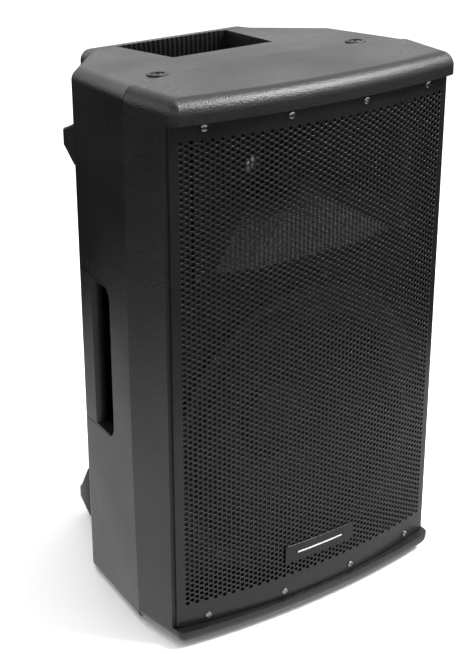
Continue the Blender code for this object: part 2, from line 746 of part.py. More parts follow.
def mid_shell():
    fillets = (BODY_BOTTOM_FILLET, BODY_TOP_FILLET)
    shell = filleted("mid_shell", body_corners(), fillets, BODY_TOP_SLOPE, skin=SHELL_PLASTIC)
    keep(shell, seam_block("behind_mid_seam", -SEAM_GAP / 2))
    behind = box("behind_rear_seam", (-FAR, at(REAR_SEAM), -FAR), (FAR, FAR, 2 * TOP))
    hollow = filleted("mid_hollow", body_corners(), fillets, BODY_TOP_SLOPE, wall=WALL)
    cut(shell, behind, hollow)
    for name, side in SIDES:
        cut(shell, notch(name + "_grip_opening", side, 0.0, GRIP_START, NOTCH_REACH))
    front = REAR_SEAM - TOP_GRIP_LENGTH
    opening = [
        (-TOP_GRIP_FRONT, at(front)),
        (TOP_GRIP_FRONT, at(front)),
        (TOP_GRIP_REAR + SEAM_GAP, at(REAR_SEAM + 0.01)),
        (-TOP_GRIP_REAR - SEAM_GAP, at(REAR_SEAM + 0.01)),
    ]
    cut(shell, prism("top_grip_opening", opening, "Z", TOP - 0.06, TOP + 0.05))
    fly_places = [(fly_place(side), TOP_LEAN) for _, side in SIDES]
    fly_holes = joined_rods("fly_holes", FLY_BOSS_RADIUS + GAP, -0.02, 0.02, fly_places, 20)
    pole_hole = rod(
        "pole_hole", POLE_BORE + CUP_WALL + GAP, -0.02, 0.02, (0, at(POLE_CUP_DEPTH), FLOOR), segments=28
    )
    return cut(shell, fly_holes, pole_hole)


def rear_shell():
    fillets = (BODY_BOTTOM_FILLET, BODY_TOP_FILLET)
    shell = filleted("rear_shell", body_corners(), fillets, BODY_TOP_SLOPE, skin=SHELL_PLASTIC)
    zone = box("rear_zone", (-FAR, at(REAR_SEAM + SEAM_GAP), -FAR), (FAR, FAR, 2 * TOP))
    for name, side in SIDES:
        join(zone, notch(name + "_grip_zone", side, SEAM_GAP, GRIP_START, NOTCH_REACH + SEAM_GAP))
    keep(shell, zone)
    hollow = filleted("rear_hollow", body_corners(), fillets, BODY_TOP_SLOPE, wall=WALL)
    cut(hollow, top_pocket_block("top_pocket_kept", 0.0))
    for name, side in SIDES:
        cut(hollow, side_pocket_block(name + "_pocket_kept", side, 0.0))
    cut(shell, hollow)
    tubs = [side_pocket_block(name + "_tub", side, JOIN_TRIM) for name, side in SIDES]
    for tub in (*tubs, top_pocket_block("top_tub", JOIN_TRIM)):
        room_wall = WALL + JOIN_TRIM - 0.0001
        keep(tub, filleted(tub.name + "_room", body_corners(), fillets, BODY_TOP_SLOPE, wall=room_wall))
        join(shell, tub)
    for name, side in SIDES:
        cut(shell, side_pocket_space(name + "_pocket_space", side), rib_comb(name + "_ribs", side))
        for label, heights in (("upper", UPPER_BUMPER), ("lower", LOWER_BUMPER)):
            join(shell, bumper(f"{name}_{label}_bumper", heights, side))
    under_bar = box(
        "under_top_bar",
        (-TOP_GRIP_FRONT, at(REAR_SEAM - 0.01), TOP_POCKET_FLOOR + 0.0002),
        (TOP_GRIP_FRONT, at(REAR_FACE - WALL - 0.001), TOP_BAR_UNDER),
    )
    width, height = PANEL_SIZE
    panel_hole = box(
        "panel_hole",
        (-width / 2 + PANEL_LAP, at(REAR_FACE - 0.02), PANEL_Z - height / 2 + PANEL_LAP),
        (width / 2 - PANEL_LAP, at(REAR_FACE + 0.01), PANEL_Z + height / 2 - PANEL_LAP),
    )
    screw_holes = joined_rods(
        "panel_screw_holes", PANEL_SCREW_SHANK + GAP, -0.01, 0.01, panel_screw_places(at(REAR_FACE)), 8
    )
    return cut(shell, top_opening("top_finger_space"), under_bar, panel_hole, screw_holes)


def panel_screw_places(y):
    across, up = PANEL_SIZE[0] / 2 - PANEL_LAP / 2, PANEL_SIZE[1] / 2 - PANEL_LAP / 2
    return [((x * across, y, PANEL_Z + z * up), FACE_BACK) for x in (-1, 1) for z in (-1, 1)]


def grille():
    low, high = GRILLE_LOW + GRILLE_EDGE_GAP, GRILLE_HIGH - GRILLE_EDGE_GAP
    radius = GRILLE_BOW_RADIUS
    half = GRILLE_HALF_WIDTH
    front = arc(half, radius, GRILLE_SETBACK)
    back = arc(half, radius, GRILLE_SETBACK + GRILLE_FOLD)
    tray = prism("grille", front + back[::-1], "Z", low, high, GRILLE_STEEL)
    inner = half - GRILLE_SHEET
    front = arc(inner, radius, GRILLE_SETBACK + GRILLE_SHEET)
    back = arc(inner, radius, GRILLE_SETBACK + GRILLE_FOLD + 0.01)
    hollow = prism("grille_hollow", front + back[::-1], "Z", low + GRILLE_SHEET, high - GRILLE_SHEET)
    places = [((x, y, z), (radians(90), 0, turn)) for x, y, z, turn in screw_places()]
    return cut(tray, hollow, joined_rods("grille_holes", GRILLE_SCREW_SHANK + GAP, -0.015, 0.01, places, 8))


def badge():
    """A plain plate with rounded ends, curved to lie on the grille."""
    width, height = BADGE_SIZE
    front = arc(width / 2, GRILLE_BOW_RADIUS, GRILLE_SETBACK - GAP - BADGE_THICKNESS, 6)
    back = arc(width / 2, GRILLE_BOW_RADIUS, GRILLE_SETBACK - GAP, 6)
    low = GRILLE_LOW + BADGE_RISE
    return prism("badge", front + back[::-1], "Z", low, low + height, BADGE_METAL)


def screw(name, place, turn, head, shank_radius, shank_length, segments=8):
    """A pan-head screw, its origin under the head."""
    head_radius, head_height = head
    dome = []
    for angle in (0, pi / 4, pi / 2):
        dome.append((head_radius * sin(angle), GAP + head_height * (0.45 + 0.55 * cos(angle))))
    profile = dome + [
        (head_radius, GAP),
        (shank_radius, GAP),
        (shank_radius, -shank_length),
        (0, -shank_length),
    ]
    return turned(name, profile, place, turn, segments, SCREW_STEEL)


def fasteners():
    for i, (x, y, z, turn) in enumerate(screw_places(), 1):
        place, turned_to = (x, y, z), (radians(90), 0, turn)
        screw(f"grille_screw_{i}", place, turned_to, GRILLE_SCREW_HEAD, GRILLE_SCREW_SHANK, 0.0145)
    heights = [FLANGE_THICKNESS + GAP] * 4 + [0.004 + GAP] * 4
    for i, ((place, turn), height) in enumerate(zip(driver_screw_places(), heights)):
        name = f"woofer_screw_{i + 1}" if i < 4 else f"horn_screw_{i - 3}"
        place = (place[0], place[1] - height, place[2])
        screw(name, place, turn, DRIVER_SCREW_HEAD, DRIVER_SCREW_SHANK, 0.014)
    for i, (place, turn) in enumerate(panel_screw_places(at(PANEL_FACE)), 1):
        screw(f"panel_screw_{i}", place, turn, PANEL_SCREW_HEAD, PANEL_SCREW_SHANK, 0.010)


def woofer():
    centre = (0, at(BAFFLE_DEPTH) - GAP, WOOFER_Z)
    rim = WOOFER_RADIUS
    edge = rim - CONE_INSET
    inner = rim - FLANGE_INNER
    flange = FLANGE_THICKNESS
    hub = MAGNET_RADIUS
    plate = -MAGNET_FRONT + GAP
    basket = turned(
        "woofer_frame",
        [
            (rim, flange),
            (rim, 0),
            (rim - FRAME_NECK, 0),
            (rim - FRAME_NECK - 0.001, -0.014),
            (hub + 0.012, plate + 0.004),
            (hub, plate),
            (CONE_NECK + 0.0025, plate),
            (CONE_NECK + 0.0025, plate + 0.003),
            (hub - 0.004, plate + 0.003),
            (inner - 0.001, -0.014),
            (inner, flange),
        ],
        centre,
        FACE_FRONT,
        ROUND,
        FRAME_METAL,
        ring=True,
    )
    long, short = rim + 0.02, FRAME_WINDOW / 2
    y_low, y_high = at(BAFFLE_DEPTH + 0.020), at(BAFFLE_DEPTH + MAGNET_FRONT - 0.024)
    windows = box("frame_windows_across", (-long, y_low, WOOFER_Z - short), (long, y_high, WOOFER_Z + short))
    upright = box("frame_windows_upright", (-short, y_low, WOOFER_Z - long), (short, y_high, WOOFER_Z + long))
    bolts = joined_rods("frame_bolt_holes", DRIVER_SCREW_SHANK + GAP, -0.02, 0.02, driver_screw_places()[:4], 8)
    cut(basket, windows, upright, bolts)
    turned(
        "woofer_surround",
        roll_profile(edge, inner, flange + GAP),
        centre,
        FACE_FRONT,
        ROUND,
        SURROUND_CLOTH,
        ring=True,
    )
    cone_centre = bpy.data.objects.new("cone_axis", None)
    cone_centre.location = centre
    PARTS.objects.link(cone_centre)
    top = flange
    bottom = top - CONE_DEPTH
    origin = (0, 0, 0)
    coil_outer, coil_inner = CONE_NECK - GAP, CONE_NECK - 0.0016
    coil = [
        (coil_outer, bottom),
        (coil_outer, bottom - COIL_LENGTH),
        (coil_inner, bottom - COIL_LENGTH),
        (coil_inner, bottom),
    ]
    cone = cone_profile(edge, top, bottom)
    cap = cap_profile(edge, top, bottom)
    moving = (
        turned("woofer_cone", cone, origin, segments=ROUND, skin=CONE_PAPER, ring=True),
        turned("woofer_dust_cap", cap, origin, segments=ROUND, skin=CONE_PAPER),
        turned("voice_coil", coil, origin, segments=20, skin=COIL_COPPER, ring=True),
    )
    for piece in moving:
        piece.parent = cone_centre
        piece.rotation_euler = FACE_FRONT
    turned("woofer_spider", spider_profile(bottom), centre, FACE_FRONT, 24, SPIDER_CLOTH, ring=True)
    pole = CONE_NECK - 0.0035
    slot = CONE_NECK + 0.0020
    front = -MAGNET_FRONT
    back = front - MAGNET_LENGTH
    turned(
        "woofer_magnet",
        [
            (0, front),
            (pole, front),
            (pole, back + 0.008),
            (slot, back + 0.008),
            (slot, front),
            (MAGNET_RADIUS - 0.002, front),
            (MAGNET_RADIUS, front - 0.002),
            (MAGNET_RADIUS, back + 0.002),
            (MAGNET_RADIUS - 0.002, back),
            (0, back),
        ],
        centre,
        FACE_FRONT,
        24,
        MAGNET_METAL,
    )


def roll_profile(edge, inner, height):
    """A half-round roll between the cone's edge and the frame's flange, with a landing on each."""
    middle = (edge + inner) / 2
    half = (inner - edge) / 2 - 0.002
    outer = [(inner + 0.008, height + PAPER), (inner + 0.008, height), (middle + half - PAPER, height)]
    under = [
        (middle + (half - PAPER) * cos(radians(a)), height + (ROLL_HEIGHT - PAPER) * sin(radians(a)))
        for a in range(45, 180, 45)
    ]
    cone_side = [
        (middle - half + PAPER, height),
        (edge - 0.006, height),
        (edge - 0.006, height + PAPER),
        (middle - half, height + PAPER),
    ]
    over = [
        (middle + half * cos(radians(a)), height + PAPER + ROLL_HEIGHT * sin(radians(a)))
        for a in range(135, 0, -45)
    ]
    return outer + under + cone_side + over + [(middle + half, height + PAPER)]


def cone_height(radius, edge, top, bottom):
    """The cone's front face, a little curved."""
    share = (edge - radius) / (edge - CONE_NECK)
    return top + (bottom - top) * (share + 0.10 * sin(pi * share))


def cone_profile(edge, top, bottom):
    radii = [edge - (edge - CONE_NECK) * i / 4 for i in range(5)]
    front = [(radius, cone_height(radius, edge, top, bottom)) for radius in radii]
    back = [(radius, height - PAPER * 1.3) for radius, height in front]
    return [front[0]] + back + front[:0:-1]


def cap_profile(edge, top, bottom):
    """A domed cap resting on the cone."""
    foot = cone_height(CAP_RADIUS, edge, top, bottom) + GAP
    steps = 3
    outer = [
        (CAP_RADIUS * sin(radians(90) * i / steps), foot + PAPER + CAP_RISE * cos(radians(90) * i / steps))
        for i in range(steps + 1)
    ]
    inner = [
        ((CAP_RADIUS - PAPER) * sin(radians(90) * i / steps), foot + CAP_RISE * cos(radians(90) * i / steps))
        for i in range(steps, -1, -1)
    ]
    return outer + inner


def frame_inner(height):
    """The inner radius of the woofer frame's sloping wall."""
    top_radius, top = WOOFER_RADIUS - FLANGE_INNER - 0.001, -0.014
    low_radius, low = MAGNET_RADIUS - 0.004, -MAGNET_FRONT + GAP + 0.003
    return low_radius + (top_radius - low_radius) * (height - low) / (top - low)


def spider_profile(bottom):
    """Corrugated cloth from the coil to the frame's plate."""
    waves = 2
    start = CONE_NECK + 0.0008
    height = bottom - 0.006
    end = frame_inner(height) - 0.001
    points = []
    for i in range(2 * waves + 1):
        radius = start + (end - start) * i / (2 * waves)
        points.append((radius, height + (0.002 if i % 2 else 0.0)))
    front = [(radius, z + PAPER) for radius, z in points]
    return front[::-1][:1] + points[::-1] + front[:-1]


def horn_section(share, grow):
    """One outline of the horn: a circle at the throat that squares off and widens towards the mouth."""
    flare = share**2.1
    across = THROAT_RADIUS + (HORN_WIDTH / 2 - THROAT_RADIUS) * (0.35 * share + 0.65 * flare) + grow
    up = THROAT_RADIUS + (HORN_HEIGHT / 2 - THROAT_RADIUS) * (0.35 * share + 0.65 * flare) + grow
    power = 2 + 5 * share
    points = []
    for i in range(HORN_SIDES):
        angle = 2 * pi * (i + 0.5) / HORN_SIDES
        c, s = cos(angle), sin(angle)
        reach = (abs(c) ** power + abs(s) ** power) ** (-1 / power)
        points.append((across * reach * c, up * reach * s))
    return points


def horn():
    mouth = BAFFLE_DEPTH - 0.004
    steps = 5

    def rings(grow, front):
        made = []
        for i in range(steps + 1):
            share = i / steps
            depth = mouth + HORN_LENGTH * (1 - share)
            if i == steps:
                depth -= front
            if i == 0:
                depth += front
            made.append([(x, at(depth), HORN_Z + z) for x, z in horn_section(share, grow)])
        return made

    last = [(x, at(BAFFLE_DEPTH + 0.004), HORN_Z + z) for x, z in horn_section(0.90, HORN_WALL)]
    body = loft("horn", [*rings(HORN_WALL, 0.0)[:-1], last], HORN_PLASTIC)
    plate = box(
        "horn_plate",
        (-HORN_WIDTH / 2 - HORN_RIM, at(mouth) - GAP, HORN_Z - HORN_HEIGHT / 2 - 0.003),
        (HORN_WIDTH / 2 + HORN_RIM, at(BAFFLE_DEPTH) - GAP, HORN_Z + HORN_HEIGHT / 2 + 0.003),
    )
    link = box(
        "horn_neck",
        (-HORN_WIDTH / 2 + 0.0062, at(BAFFLE_DEPTH) - GAP - 0.001, HORN_Z - HORN_HEIGHT / 2 + 0.0062),
        (HORN_WIDTH / 2 - 0.0062, at(BAFFLE_DEPTH + 0.012), HORN_Z + HORN_HEIGHT / 2 - 0.0062),
    )
    space = loft("horn_space", rings(0.0, 0.002))
    holes = joined_rods("horn_screw_holes", DRIVER_SCREW_SHANK + GAP, -0.02, 0.02, driver_screw_places()[4:], 8)
    join(body, plate, link)
    cut(body, space, holes)
    throat = BAFFLE_DEPTH - 0.004 + HORN_LENGTH
    place = (0, at(throat), HORN_Z)
    driver = turned(
        "compression_driver",
        [
            (0, -GAP),
            (0.030, -GAP),
            (0.030, -0.008),
            (DRIVER_RADIUS, -0.010),
            (DRIVER_RADIUS, -0.034),
            (DRIVER_RADIUS - 0.006, -0.036),
            (DRIVER_RADIUS - 0.006, -DRIVER_LENGTH),
            (0, -DRIVER_LENGTH),
        ],
        place,
        FACE_FRONT,
        20,
        MAGNET_METAL,
    )
    cut(driver, rod("driver_throat", THROAT_RADIUS, -0.014, 0.01, place, FACE_FRONT, 20))
    edge = THROAT_RADIUS - 0.001
    turned(
        "phase_plug",
        [(0, -0.006), (PLUG_TIP_RADIUS, -0.0065), (edge, -0.009), (edge, -0.0136), (0, -0.0136)],
        place,
        FACE_FRONT,
        20,
        PLUG_METAL,
    )


def standoff():
    """A rubber post between woofer and horn that keeps the grille from rattling."""
    reach = BAFFLE_DEPTH - GRILLE_SETBACK - GRILLE_SHEET - GAP
    turned(
        "grille_standoff",
        [
            (0, reach),
            (0.004, reach),
            (0.005, 0.004),
            (0.0075, GAP),
            (STANDOFF_PEG, GAP),
            (STANDOFF_PEG, -0.007),
            (0, -0.007),
        ],
        (0, at(BAFFLE_DEPTH), STANDOFF_Z),
        FACE_FRONT,
        16,
        RUBBER,
    )


def hanging_points():
    for name, side in SIDES:
        place = fly_place(side)
        turned(
            "fly_insert_" + name,
            [
                (FLY_BOLT_HEAD + 0.0008, FLY_PROUD),
                (FLY_RING_RADIUS - 0.001, FLY_PROUD),
                (FLY_RING_RADIUS, FLY_PROUD - 0.001),
                (FLY_RING_RADIUS, GAP),
                (FLY_BOSS_RADIUS, GAP),
                (FLY_BOSS_RADIUS, -FLY_LENGTH),
                (FLY_BOLT_SHANK + GAP, -FLY_LENGTH),
                (FLY_BOLT_SHANK + GAP, -0.002),
                (FLY_BOLT_HEAD + 0.0008, -0.002),
            ],
            place,
            TOP_LEAN,
            16,
            FRAME_METAL,
            ring=True,
        )
        turned(
            "fly_bolt_" + name,
            [
                (0, 0.0015),
                (FLY_BOLT_HEAD - 0.001, 0.0015),
                (FLY_BOLT_HEAD, 0.0005),
                (FLY_BOLT_HEAD, -0.002 + GAP),
                (FLY_BOLT_SHANK, -0.002 + GAP),
                (FLY_BOLT_SHANK, -FLY_LENGTH - 0.004),
                (0, -FLY_LENGTH - 0.004),
            ],
            place,
            TOP_LEAN,
            12,
            SCREW_STEEL,
        )


def stand():
    names = ("foot_front_left", "foot_front_right", "foot_rear_left", "foot_rear_right")
    for name, (x, y) in zip(names, foot_places()):
        rod(name, FOOT_RADIUS, 0, FLOOR - GAP, (x, y, 0), segments=16, skin=RUBBER)
    outer = POLE_BORE + CUP_WALL
    turned(
        "pole_cup",
        [
            (0, POLE_DEPTH + CUP_WALL),
            (outer, POLE_DEPTH + CUP_WALL),
            (outer, 0.0),
            (POLE_FLANGE, 0.0),
            (POLE_FLANGE, -0.003),
            (POLE_BORE, -0.003),
            (POLE_BORE, POLE_DEPTH),
            (0, POLE_DEPTH),
        ],
        (0, at(POLE_CUP_DEPTH), FLOOR - GAP),
        segments=24,
        skin=FRAME_METAL,
    )


def amplifier():
    width, height = PANEL_SIZE
    face = at(PANEL_FACE)
    back = at(REAR_FACE) + GAP
    panel = box(
        "amp_panel",
        (-width / 2, back, PANEL_Z - height / 2),
        (width / 2, face, PANEL_Z + height / 2),
        PANEL_METAL,
    )
    knob_xs = [KNOB_SPACING * i for i in (-1, 0, 1)]
    jack_xs = (-KNOB_SPACING, 0.0)
    out_x = KNOB_SPACING
    shafts = [((x, face, KNOB_Z), FACE_BACK) for x in knob_xs]
    jacks = [((x, face, JACK_Z), FACE_BACK) for x in (*jack_xs, out_x)]
    cut(
        panel,
        joined_rods("panel_screw_clear", PANEL_SCREW_SHANK + GAP, -0.01, 0.01, panel_screw_places(face), 8),
        joined_rods("shaft_holes", SHAFT_RADIUS + GAP, -0.01, 0.01, shafts, 12),
        joined_rods("jack_holes", JACK_RADIUS + GAP, -0.01, 0.01, jacks, 20),
        panel_hole("mains_hole", INLET_X, INLET_BODY, face),
        panel_hole("switch_hole", SWITCH_X, switch_body_size(), face),
    )
    for i, x in enumerate(knob_xs, 1):
        knob(f"level_knob_{i}", (x, face, KNOB_Z))
    for i, x in enumerate(jack_xs, 1):
        jack(f"input_jack_{i}", (x, face, JACK_Z))
        latch(f"jack_latch_{i}", (x, face, JACK_Z))
    jack("link_jack", (out_x, face, JACK_Z), slot=False)
    heat_sink(face)
    mains(face, back)
    inner_works(back)


def knob(name, place):
    """A ribless tapered knob on its shaft, turning about the shaft."""
    turned(
        name,
        [
            (0, KNOB_LENGTH),
            (KNOB_RADIUS - 0.0025, KNOB_LENGTH),
            (KNOB_RADIUS - 0.0015, KNOB_LENGTH - 0.001),
            (KNOB_RADIUS - 0.001, 0.003),
            (KNOB_RADIUS, 0.002),
            (KNOB_RADIUS, 0.0005),
            (SHAFT_RADIUS, 0.0005),
            (SHAFT_RADIUS, -0.016),
            (0, -0.016),
        ],
        place,
        FACE_BACK,
        14,
        KNOB_PLASTIC,
    )
    pointer = box(
        name + "_pointer",
        (place[0] - 0.0006, place[1] + KNOB_LENGTH - 0.0008, place[2] + 0.001),
        (place[0] + 0.0006, place[1] + KNOB_LENGTH + 0.002, place[2] + KNOB_RADIUS),
    )
    cut(bpy.data.objects[name], pointer)


def jack(name, place, slot=True):
    """A round panel socket with a square plate, and a slot for its latch."""
    x, face, z = place
    width, height = JACK_PLATE
    body = box(
        name,
        (x - width / 2, face + GAP, z - height / 2),
        (x + width / 2, face + GAP + 0.0025, z + height / 2),
        JACK_PLASTIC,
    )
    join(body, rod(name + "_barrel", JACK_RADIUS, -JACK_LENGTH, 0.002, place, FACE_BACK, 20))
    cut(body, rod(name + "_bore", JACK_BORE, -JACK_LENGTH + 0.004, 0.01, place, FACE_BACK, 20))
    if slot:
        across, deep, up = LATCH_SIZE
        latch_z = z + JACK_RADIUS + up / 2
        cut(
            body,
            box(
                name + "_latch_slot",
                (x - across / 2 - GAP, face - 0.01, latch_z - up / 2 - GAP),
                (x + across / 2 + GAP, face + 0.01, latch_z + up / 2 - GAP),
            ),
        )


def latch(name, place):
    x, face, z = place
    across, deep, up = LATCH_SIZE
    front = face + GAP + 0.0025 + LATCH_TRAVEL
    piece = box(name, (-across / 2, GAP - deep, 0), (across / 2, 0, up - 2 * GAP), LATCH_PLASTIC)
    piece.location = (x, front, z + JACK_RADIUS)


def heat_sink(face):
    """A finned plate: a comb outline extruded upwards."""
    width, height = SINK_SIZE
    pitch = width / SINK_FINS
    fin = pitch * 0.35
    front = face + GAP
    base, tip = front + SINK_BASE, front + SINK_BASE + SINK_FIN_DEPTH
    outline = [(-width / 2, front), (width / 2, front)]
    for i in range(SINK_FINS):
        right = width / 2 - i * (width - fin) / (SINK_FINS - 1)
        if i > 0:
            outline.append((right, base))
        outline += [(right, tip), (right - fin, tip)]
        if i < SINK_FINS - 1:
            outline.append((right - fin, base))
    prism("heat_sink", outline, "Z", SINK_Z - height / 2, SINK_Z + height / 2, SINK_METAL)


def around(name, x, size, low, high, skin=None):
    """A box centred on x and the mains row, size across and up, from low to high along Y."""
    across, up = size
    return box(name, (x - across / 2, low, MAINS_Z - up / 2), (x + across / 2, high, MAINS_Z + up / 2), skin)


def panel_hole(name, x, size, face):
    grown = [side + 2 * PANEL_HOLE_CLEARANCE for side in size]
    return around(name, x, grown, face - 0.015, face + 0.01)


def switch_body_size():
    return [side + 2 * wall for side, wall in zip(ROCKER_SIZE, SWITCH_WALL)]


def mains(face, back):
    """The mains inlet with its three pins, and the rocker switch."""
    inlet = around("mains_inlet", INLET_X, INLET_PLATE, face + GAP, face + 0.003, JACK_PLASTIC)
    join(inlet, around("inlet_body", INLET_X, INLET_BODY, back - 0.022, face + 0.002))
    cut(inlet, around("inlet_well", INLET_X, INLET_WELL, back - 0.014, face + 0.01))
    for i, (dx, dz) in enumerate(INLET_PINS, 1):
        low = (INLET_X + dx - 0.001, back - 0.016, MAINS_Z + dz - 0.002)
        high = (INLET_X + dx + 0.001, face - 0.002, MAINS_Z + dz + 0.002)
        join(inlet, box(f"inlet_pin_{i}", low, high))
    z = MAINS_Z
    across, up = ROCKER_SIZE
    plate = [side + 2 * rim for side, rim in zip(ROCKER_SIZE, SWITCH_RIM)]
    switch = around("power_switch", SWITCH_X, plate, face + GAP, face + 0.0025, JACK_PLASTIC)
    join(switch, around("switch_body", SWITCH_X, switch_body_size(), back - 0.020, face + 0.002))
    cut(switch, around("switch_well", SWITCH_X, ROCKER_SIZE, back - 0.016, face + 0.01))
    pivot = Vector((face - 0.002, z))
    half = up / 2 - 0.002
    level = [
        (-0.004, -0.004),
        (0.004, -half),
        (0.0065, -half + 0.0006),
        (0.0048, 0),
        (0.0065, half - 0.0006),
        (0.004, half),
        (-0.004, 0.004),
    ]
    tilt = Matrix.Rotation(radians(-ROCKER_THROW / 2), 2)  # at rest its lower end is pressed in
    outline = [tuple(tilt @ Vector(point)) for point in level]
    half_across = across / 2 - 2 * GAP
    rocker = prism("power_rocker", outline, "X", -half_across, half_across, JACK_PLASTIC)
    rocker.location = (SWITCH_X, pivot.x, pivot.y)


def inner_works(back):
    """The amplifier board on its posts, with capacitors and a sink block, and the toroidal mains transformer."""
    board_y = back - BOARD_STANDOFF
    low = SINK_Z - 0.045
    board = box("amp_board", (-0.080, board_y, low), (0.080, board_y + 0.0016, KNOB_Z + 0.012), BOARD_GREEN)
    posts = [((x, board_y, z), FACE_BACK) for x in (-0.074, 0.074) for z in (low + 0.005, KNOB_Z + 0.006)]
    cans = [((x, board_y, SINK_Z + 0.020), FACE_BACK) for x in (-0.045, -0.018)]
    block = ((0.010, board_y - 0.014, SINK_Z - 0.020), (0.065, board_y + 0.0008, SINK_Z + 0.035))
    join(
        board,
        joined_rods("board_posts", 0.0035, 0.0008, BOARD_STANDOFF - GAP, posts, 10),
        joined_rods("capacitors", 0.011, -0.028, 0.0008, cans, 16),
        box("driver_block", *block),
    )
    centre = (0, back, MAINS_Z + 0.012)
    turned(
        "transformer",
        [
            (0.012, -0.036),
            (0.030, -0.036),
            (0.037, -0.041),
            (0.040, -0.049),
            (0.040, -0.055),
            (0.037, -0.063),
            (0.030, -0.068),
            (0.012, -0.068),
        ],
        centre,
        FACE_BACK,
        20,
        COIL_COPPER,
        ring=True,
    )


front_shell()
mid_shell()
rear_shell()
grille()
badge()
fasteners()
woofer()
horn()
standoff()
hanging_points()
stand()
amplifier()
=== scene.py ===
"""Looks of the PA speaker cabinet: finer shells, a perforated grille, fasteners, a name plate, and the
woofer's soft rings cut into wedges. The other pieces are the CAD frame's own, with softened edges and
materials.

Metres, +Z up, the grille facing -Y. The depth of a place is measured rearward from the front of the lips.
"""

import json
from math import asin, atan2, cos, pi, radians, sin, sqrt, tan

import bmesh
import bpy
import numpy as np
from mathutils import Euler, Matrix, Vector
from mathutils.geometry import delaunay_2d_cdt


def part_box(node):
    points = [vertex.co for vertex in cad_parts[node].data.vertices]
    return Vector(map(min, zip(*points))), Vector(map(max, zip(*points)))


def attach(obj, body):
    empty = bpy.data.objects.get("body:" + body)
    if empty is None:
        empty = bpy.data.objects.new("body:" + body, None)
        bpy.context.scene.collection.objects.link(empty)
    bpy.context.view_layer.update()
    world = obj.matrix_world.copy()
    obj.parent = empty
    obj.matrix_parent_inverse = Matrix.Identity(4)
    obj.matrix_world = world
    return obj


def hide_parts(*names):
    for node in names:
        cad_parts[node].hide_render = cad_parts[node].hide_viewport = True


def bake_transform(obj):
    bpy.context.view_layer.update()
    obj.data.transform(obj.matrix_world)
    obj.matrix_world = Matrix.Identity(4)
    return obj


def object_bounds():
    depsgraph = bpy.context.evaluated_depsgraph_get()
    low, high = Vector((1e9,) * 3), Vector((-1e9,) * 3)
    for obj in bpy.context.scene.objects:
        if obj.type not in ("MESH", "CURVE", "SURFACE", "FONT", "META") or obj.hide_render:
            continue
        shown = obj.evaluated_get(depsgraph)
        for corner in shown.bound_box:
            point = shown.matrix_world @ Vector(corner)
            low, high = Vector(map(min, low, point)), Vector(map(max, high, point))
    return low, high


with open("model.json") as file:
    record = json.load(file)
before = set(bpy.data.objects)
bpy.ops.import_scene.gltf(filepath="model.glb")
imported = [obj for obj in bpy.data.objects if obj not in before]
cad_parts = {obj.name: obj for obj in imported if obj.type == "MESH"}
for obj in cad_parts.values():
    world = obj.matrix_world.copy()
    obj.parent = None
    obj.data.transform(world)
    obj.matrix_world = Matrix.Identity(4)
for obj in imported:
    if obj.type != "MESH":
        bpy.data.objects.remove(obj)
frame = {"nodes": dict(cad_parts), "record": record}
CAD_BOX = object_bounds()
NODES = frame["nodes"]

# Overall sizes, from the frame.
DEPTH = CAD_BOX[1].y - CAD_BOX[0].y
TOP = CAD_BOX[1].z
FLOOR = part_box("mid_shell")[0].z
GRILLE_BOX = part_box("grille")

# Outlines of the three shells.
HALF_WIDTH = 0.213
SEAM_SIDE_DEPTH = 0.1014
GRIP_START = 0.160
GRIP_END = 0.206
CORNER_DEPTH = 0.244
REAR_SEAM = 0.325
REAR_FACE = 0.352
WALL = 0.005
FRONT_SEAM = 0.0028  # gap between the front and middle shells
SEAM_GAP = 0.0010  # gap round the rear shell
SEAM_ROUNDING = 0.0005
GAP = 0.0003
FRONT_DRAFT = 0.0095
SHELL_STEP = 0.0015
SIDE_TAPER = 0.0155
CHAMFER_WIDTH = 0.068
REAR_DRAFT = 0.006
LIP_BOW_RADIUS = 1.120
SEAM_BOW_RADIUS = 0.696
SEAM_SIDE_BOW = 0.007
SEAM_REACH = HALF_WIDTH + 0.02
SEAM_LEVELS = 24
CORNER_RADIUS = 0.012
REAR_CORNER_RADIUS = 0.008
LIP_FILLET = 0.018
BODY_TOP_FILLET = 0.015
BODY_BOTTOM_FILLET = 0.008
BODY_TOP_SLOPE = 0.0575
BAFFLE_DEPTH = 0.050
BAFFLE_THICKNESS = 0.012
GRILLE_BOW_RADIUS = 0.816
GRILLE_SETBACK = 0.006
GRILLE_SHEET = 0.0015
GRILLE_FOLD = 0.0042
LOW_LEDGE = 0.0155
HIGH_LEDGE = 0.0145
FRONT_CORNER = HALF_WIDTH - FRONT_DRAFT
BODY_CORNER = HALF_WIDTH - SHELL_STEP - SIDE_TAPER
REAR_CORNER = BODY_CORNER - CHAMFER_WIDTH
FAR = 0.5
OVERRUN = 0.05  # how far a cutter runs on past the box
THROUGH = 0.02  # how far a round cutter reaches either side of its place
SPARE = 0.01  # how far a cutter runs past the wall it cuts
SLIVER = 0.001  # keeps a cutter's face off the face behind it

# How finely curves are cut.
ARC_STEPS = 48
FILLET_STEPS = 8
CORNER_STEPS = 8
ARC_MARGIN = 0.028  # the bowed front's points keep this far from its rounded corners
NOSE_STEPS = 24
COMB_STEPS = 6
PLATE_STEPS = 40
CARD_SIDES = 64

# How edges are softened and shaded, in metres and degrees.
SOFT_ANGLE = 38
CARRIED_EDGE = 0.0003
CARRIED_ANGLE = 40
SHARP_ANGLE = 32
GENTLE_ANGLE = 50

FACE_FRONT = (radians(90), 0, 0)
FACE_BACK = (radians(-90), 0, 0)
TOP_LEAN = (-atan2(BODY_TOP_SLOPE, 1), 0, 0)
CABINET = "cabinet"


# ---------------------------------------------------------------- mesh tools


def link(name, mesh):
    made = bpy.data.objects.new(name, mesh)
    bpy.context.scene.collection.objects.link(made)
    return made


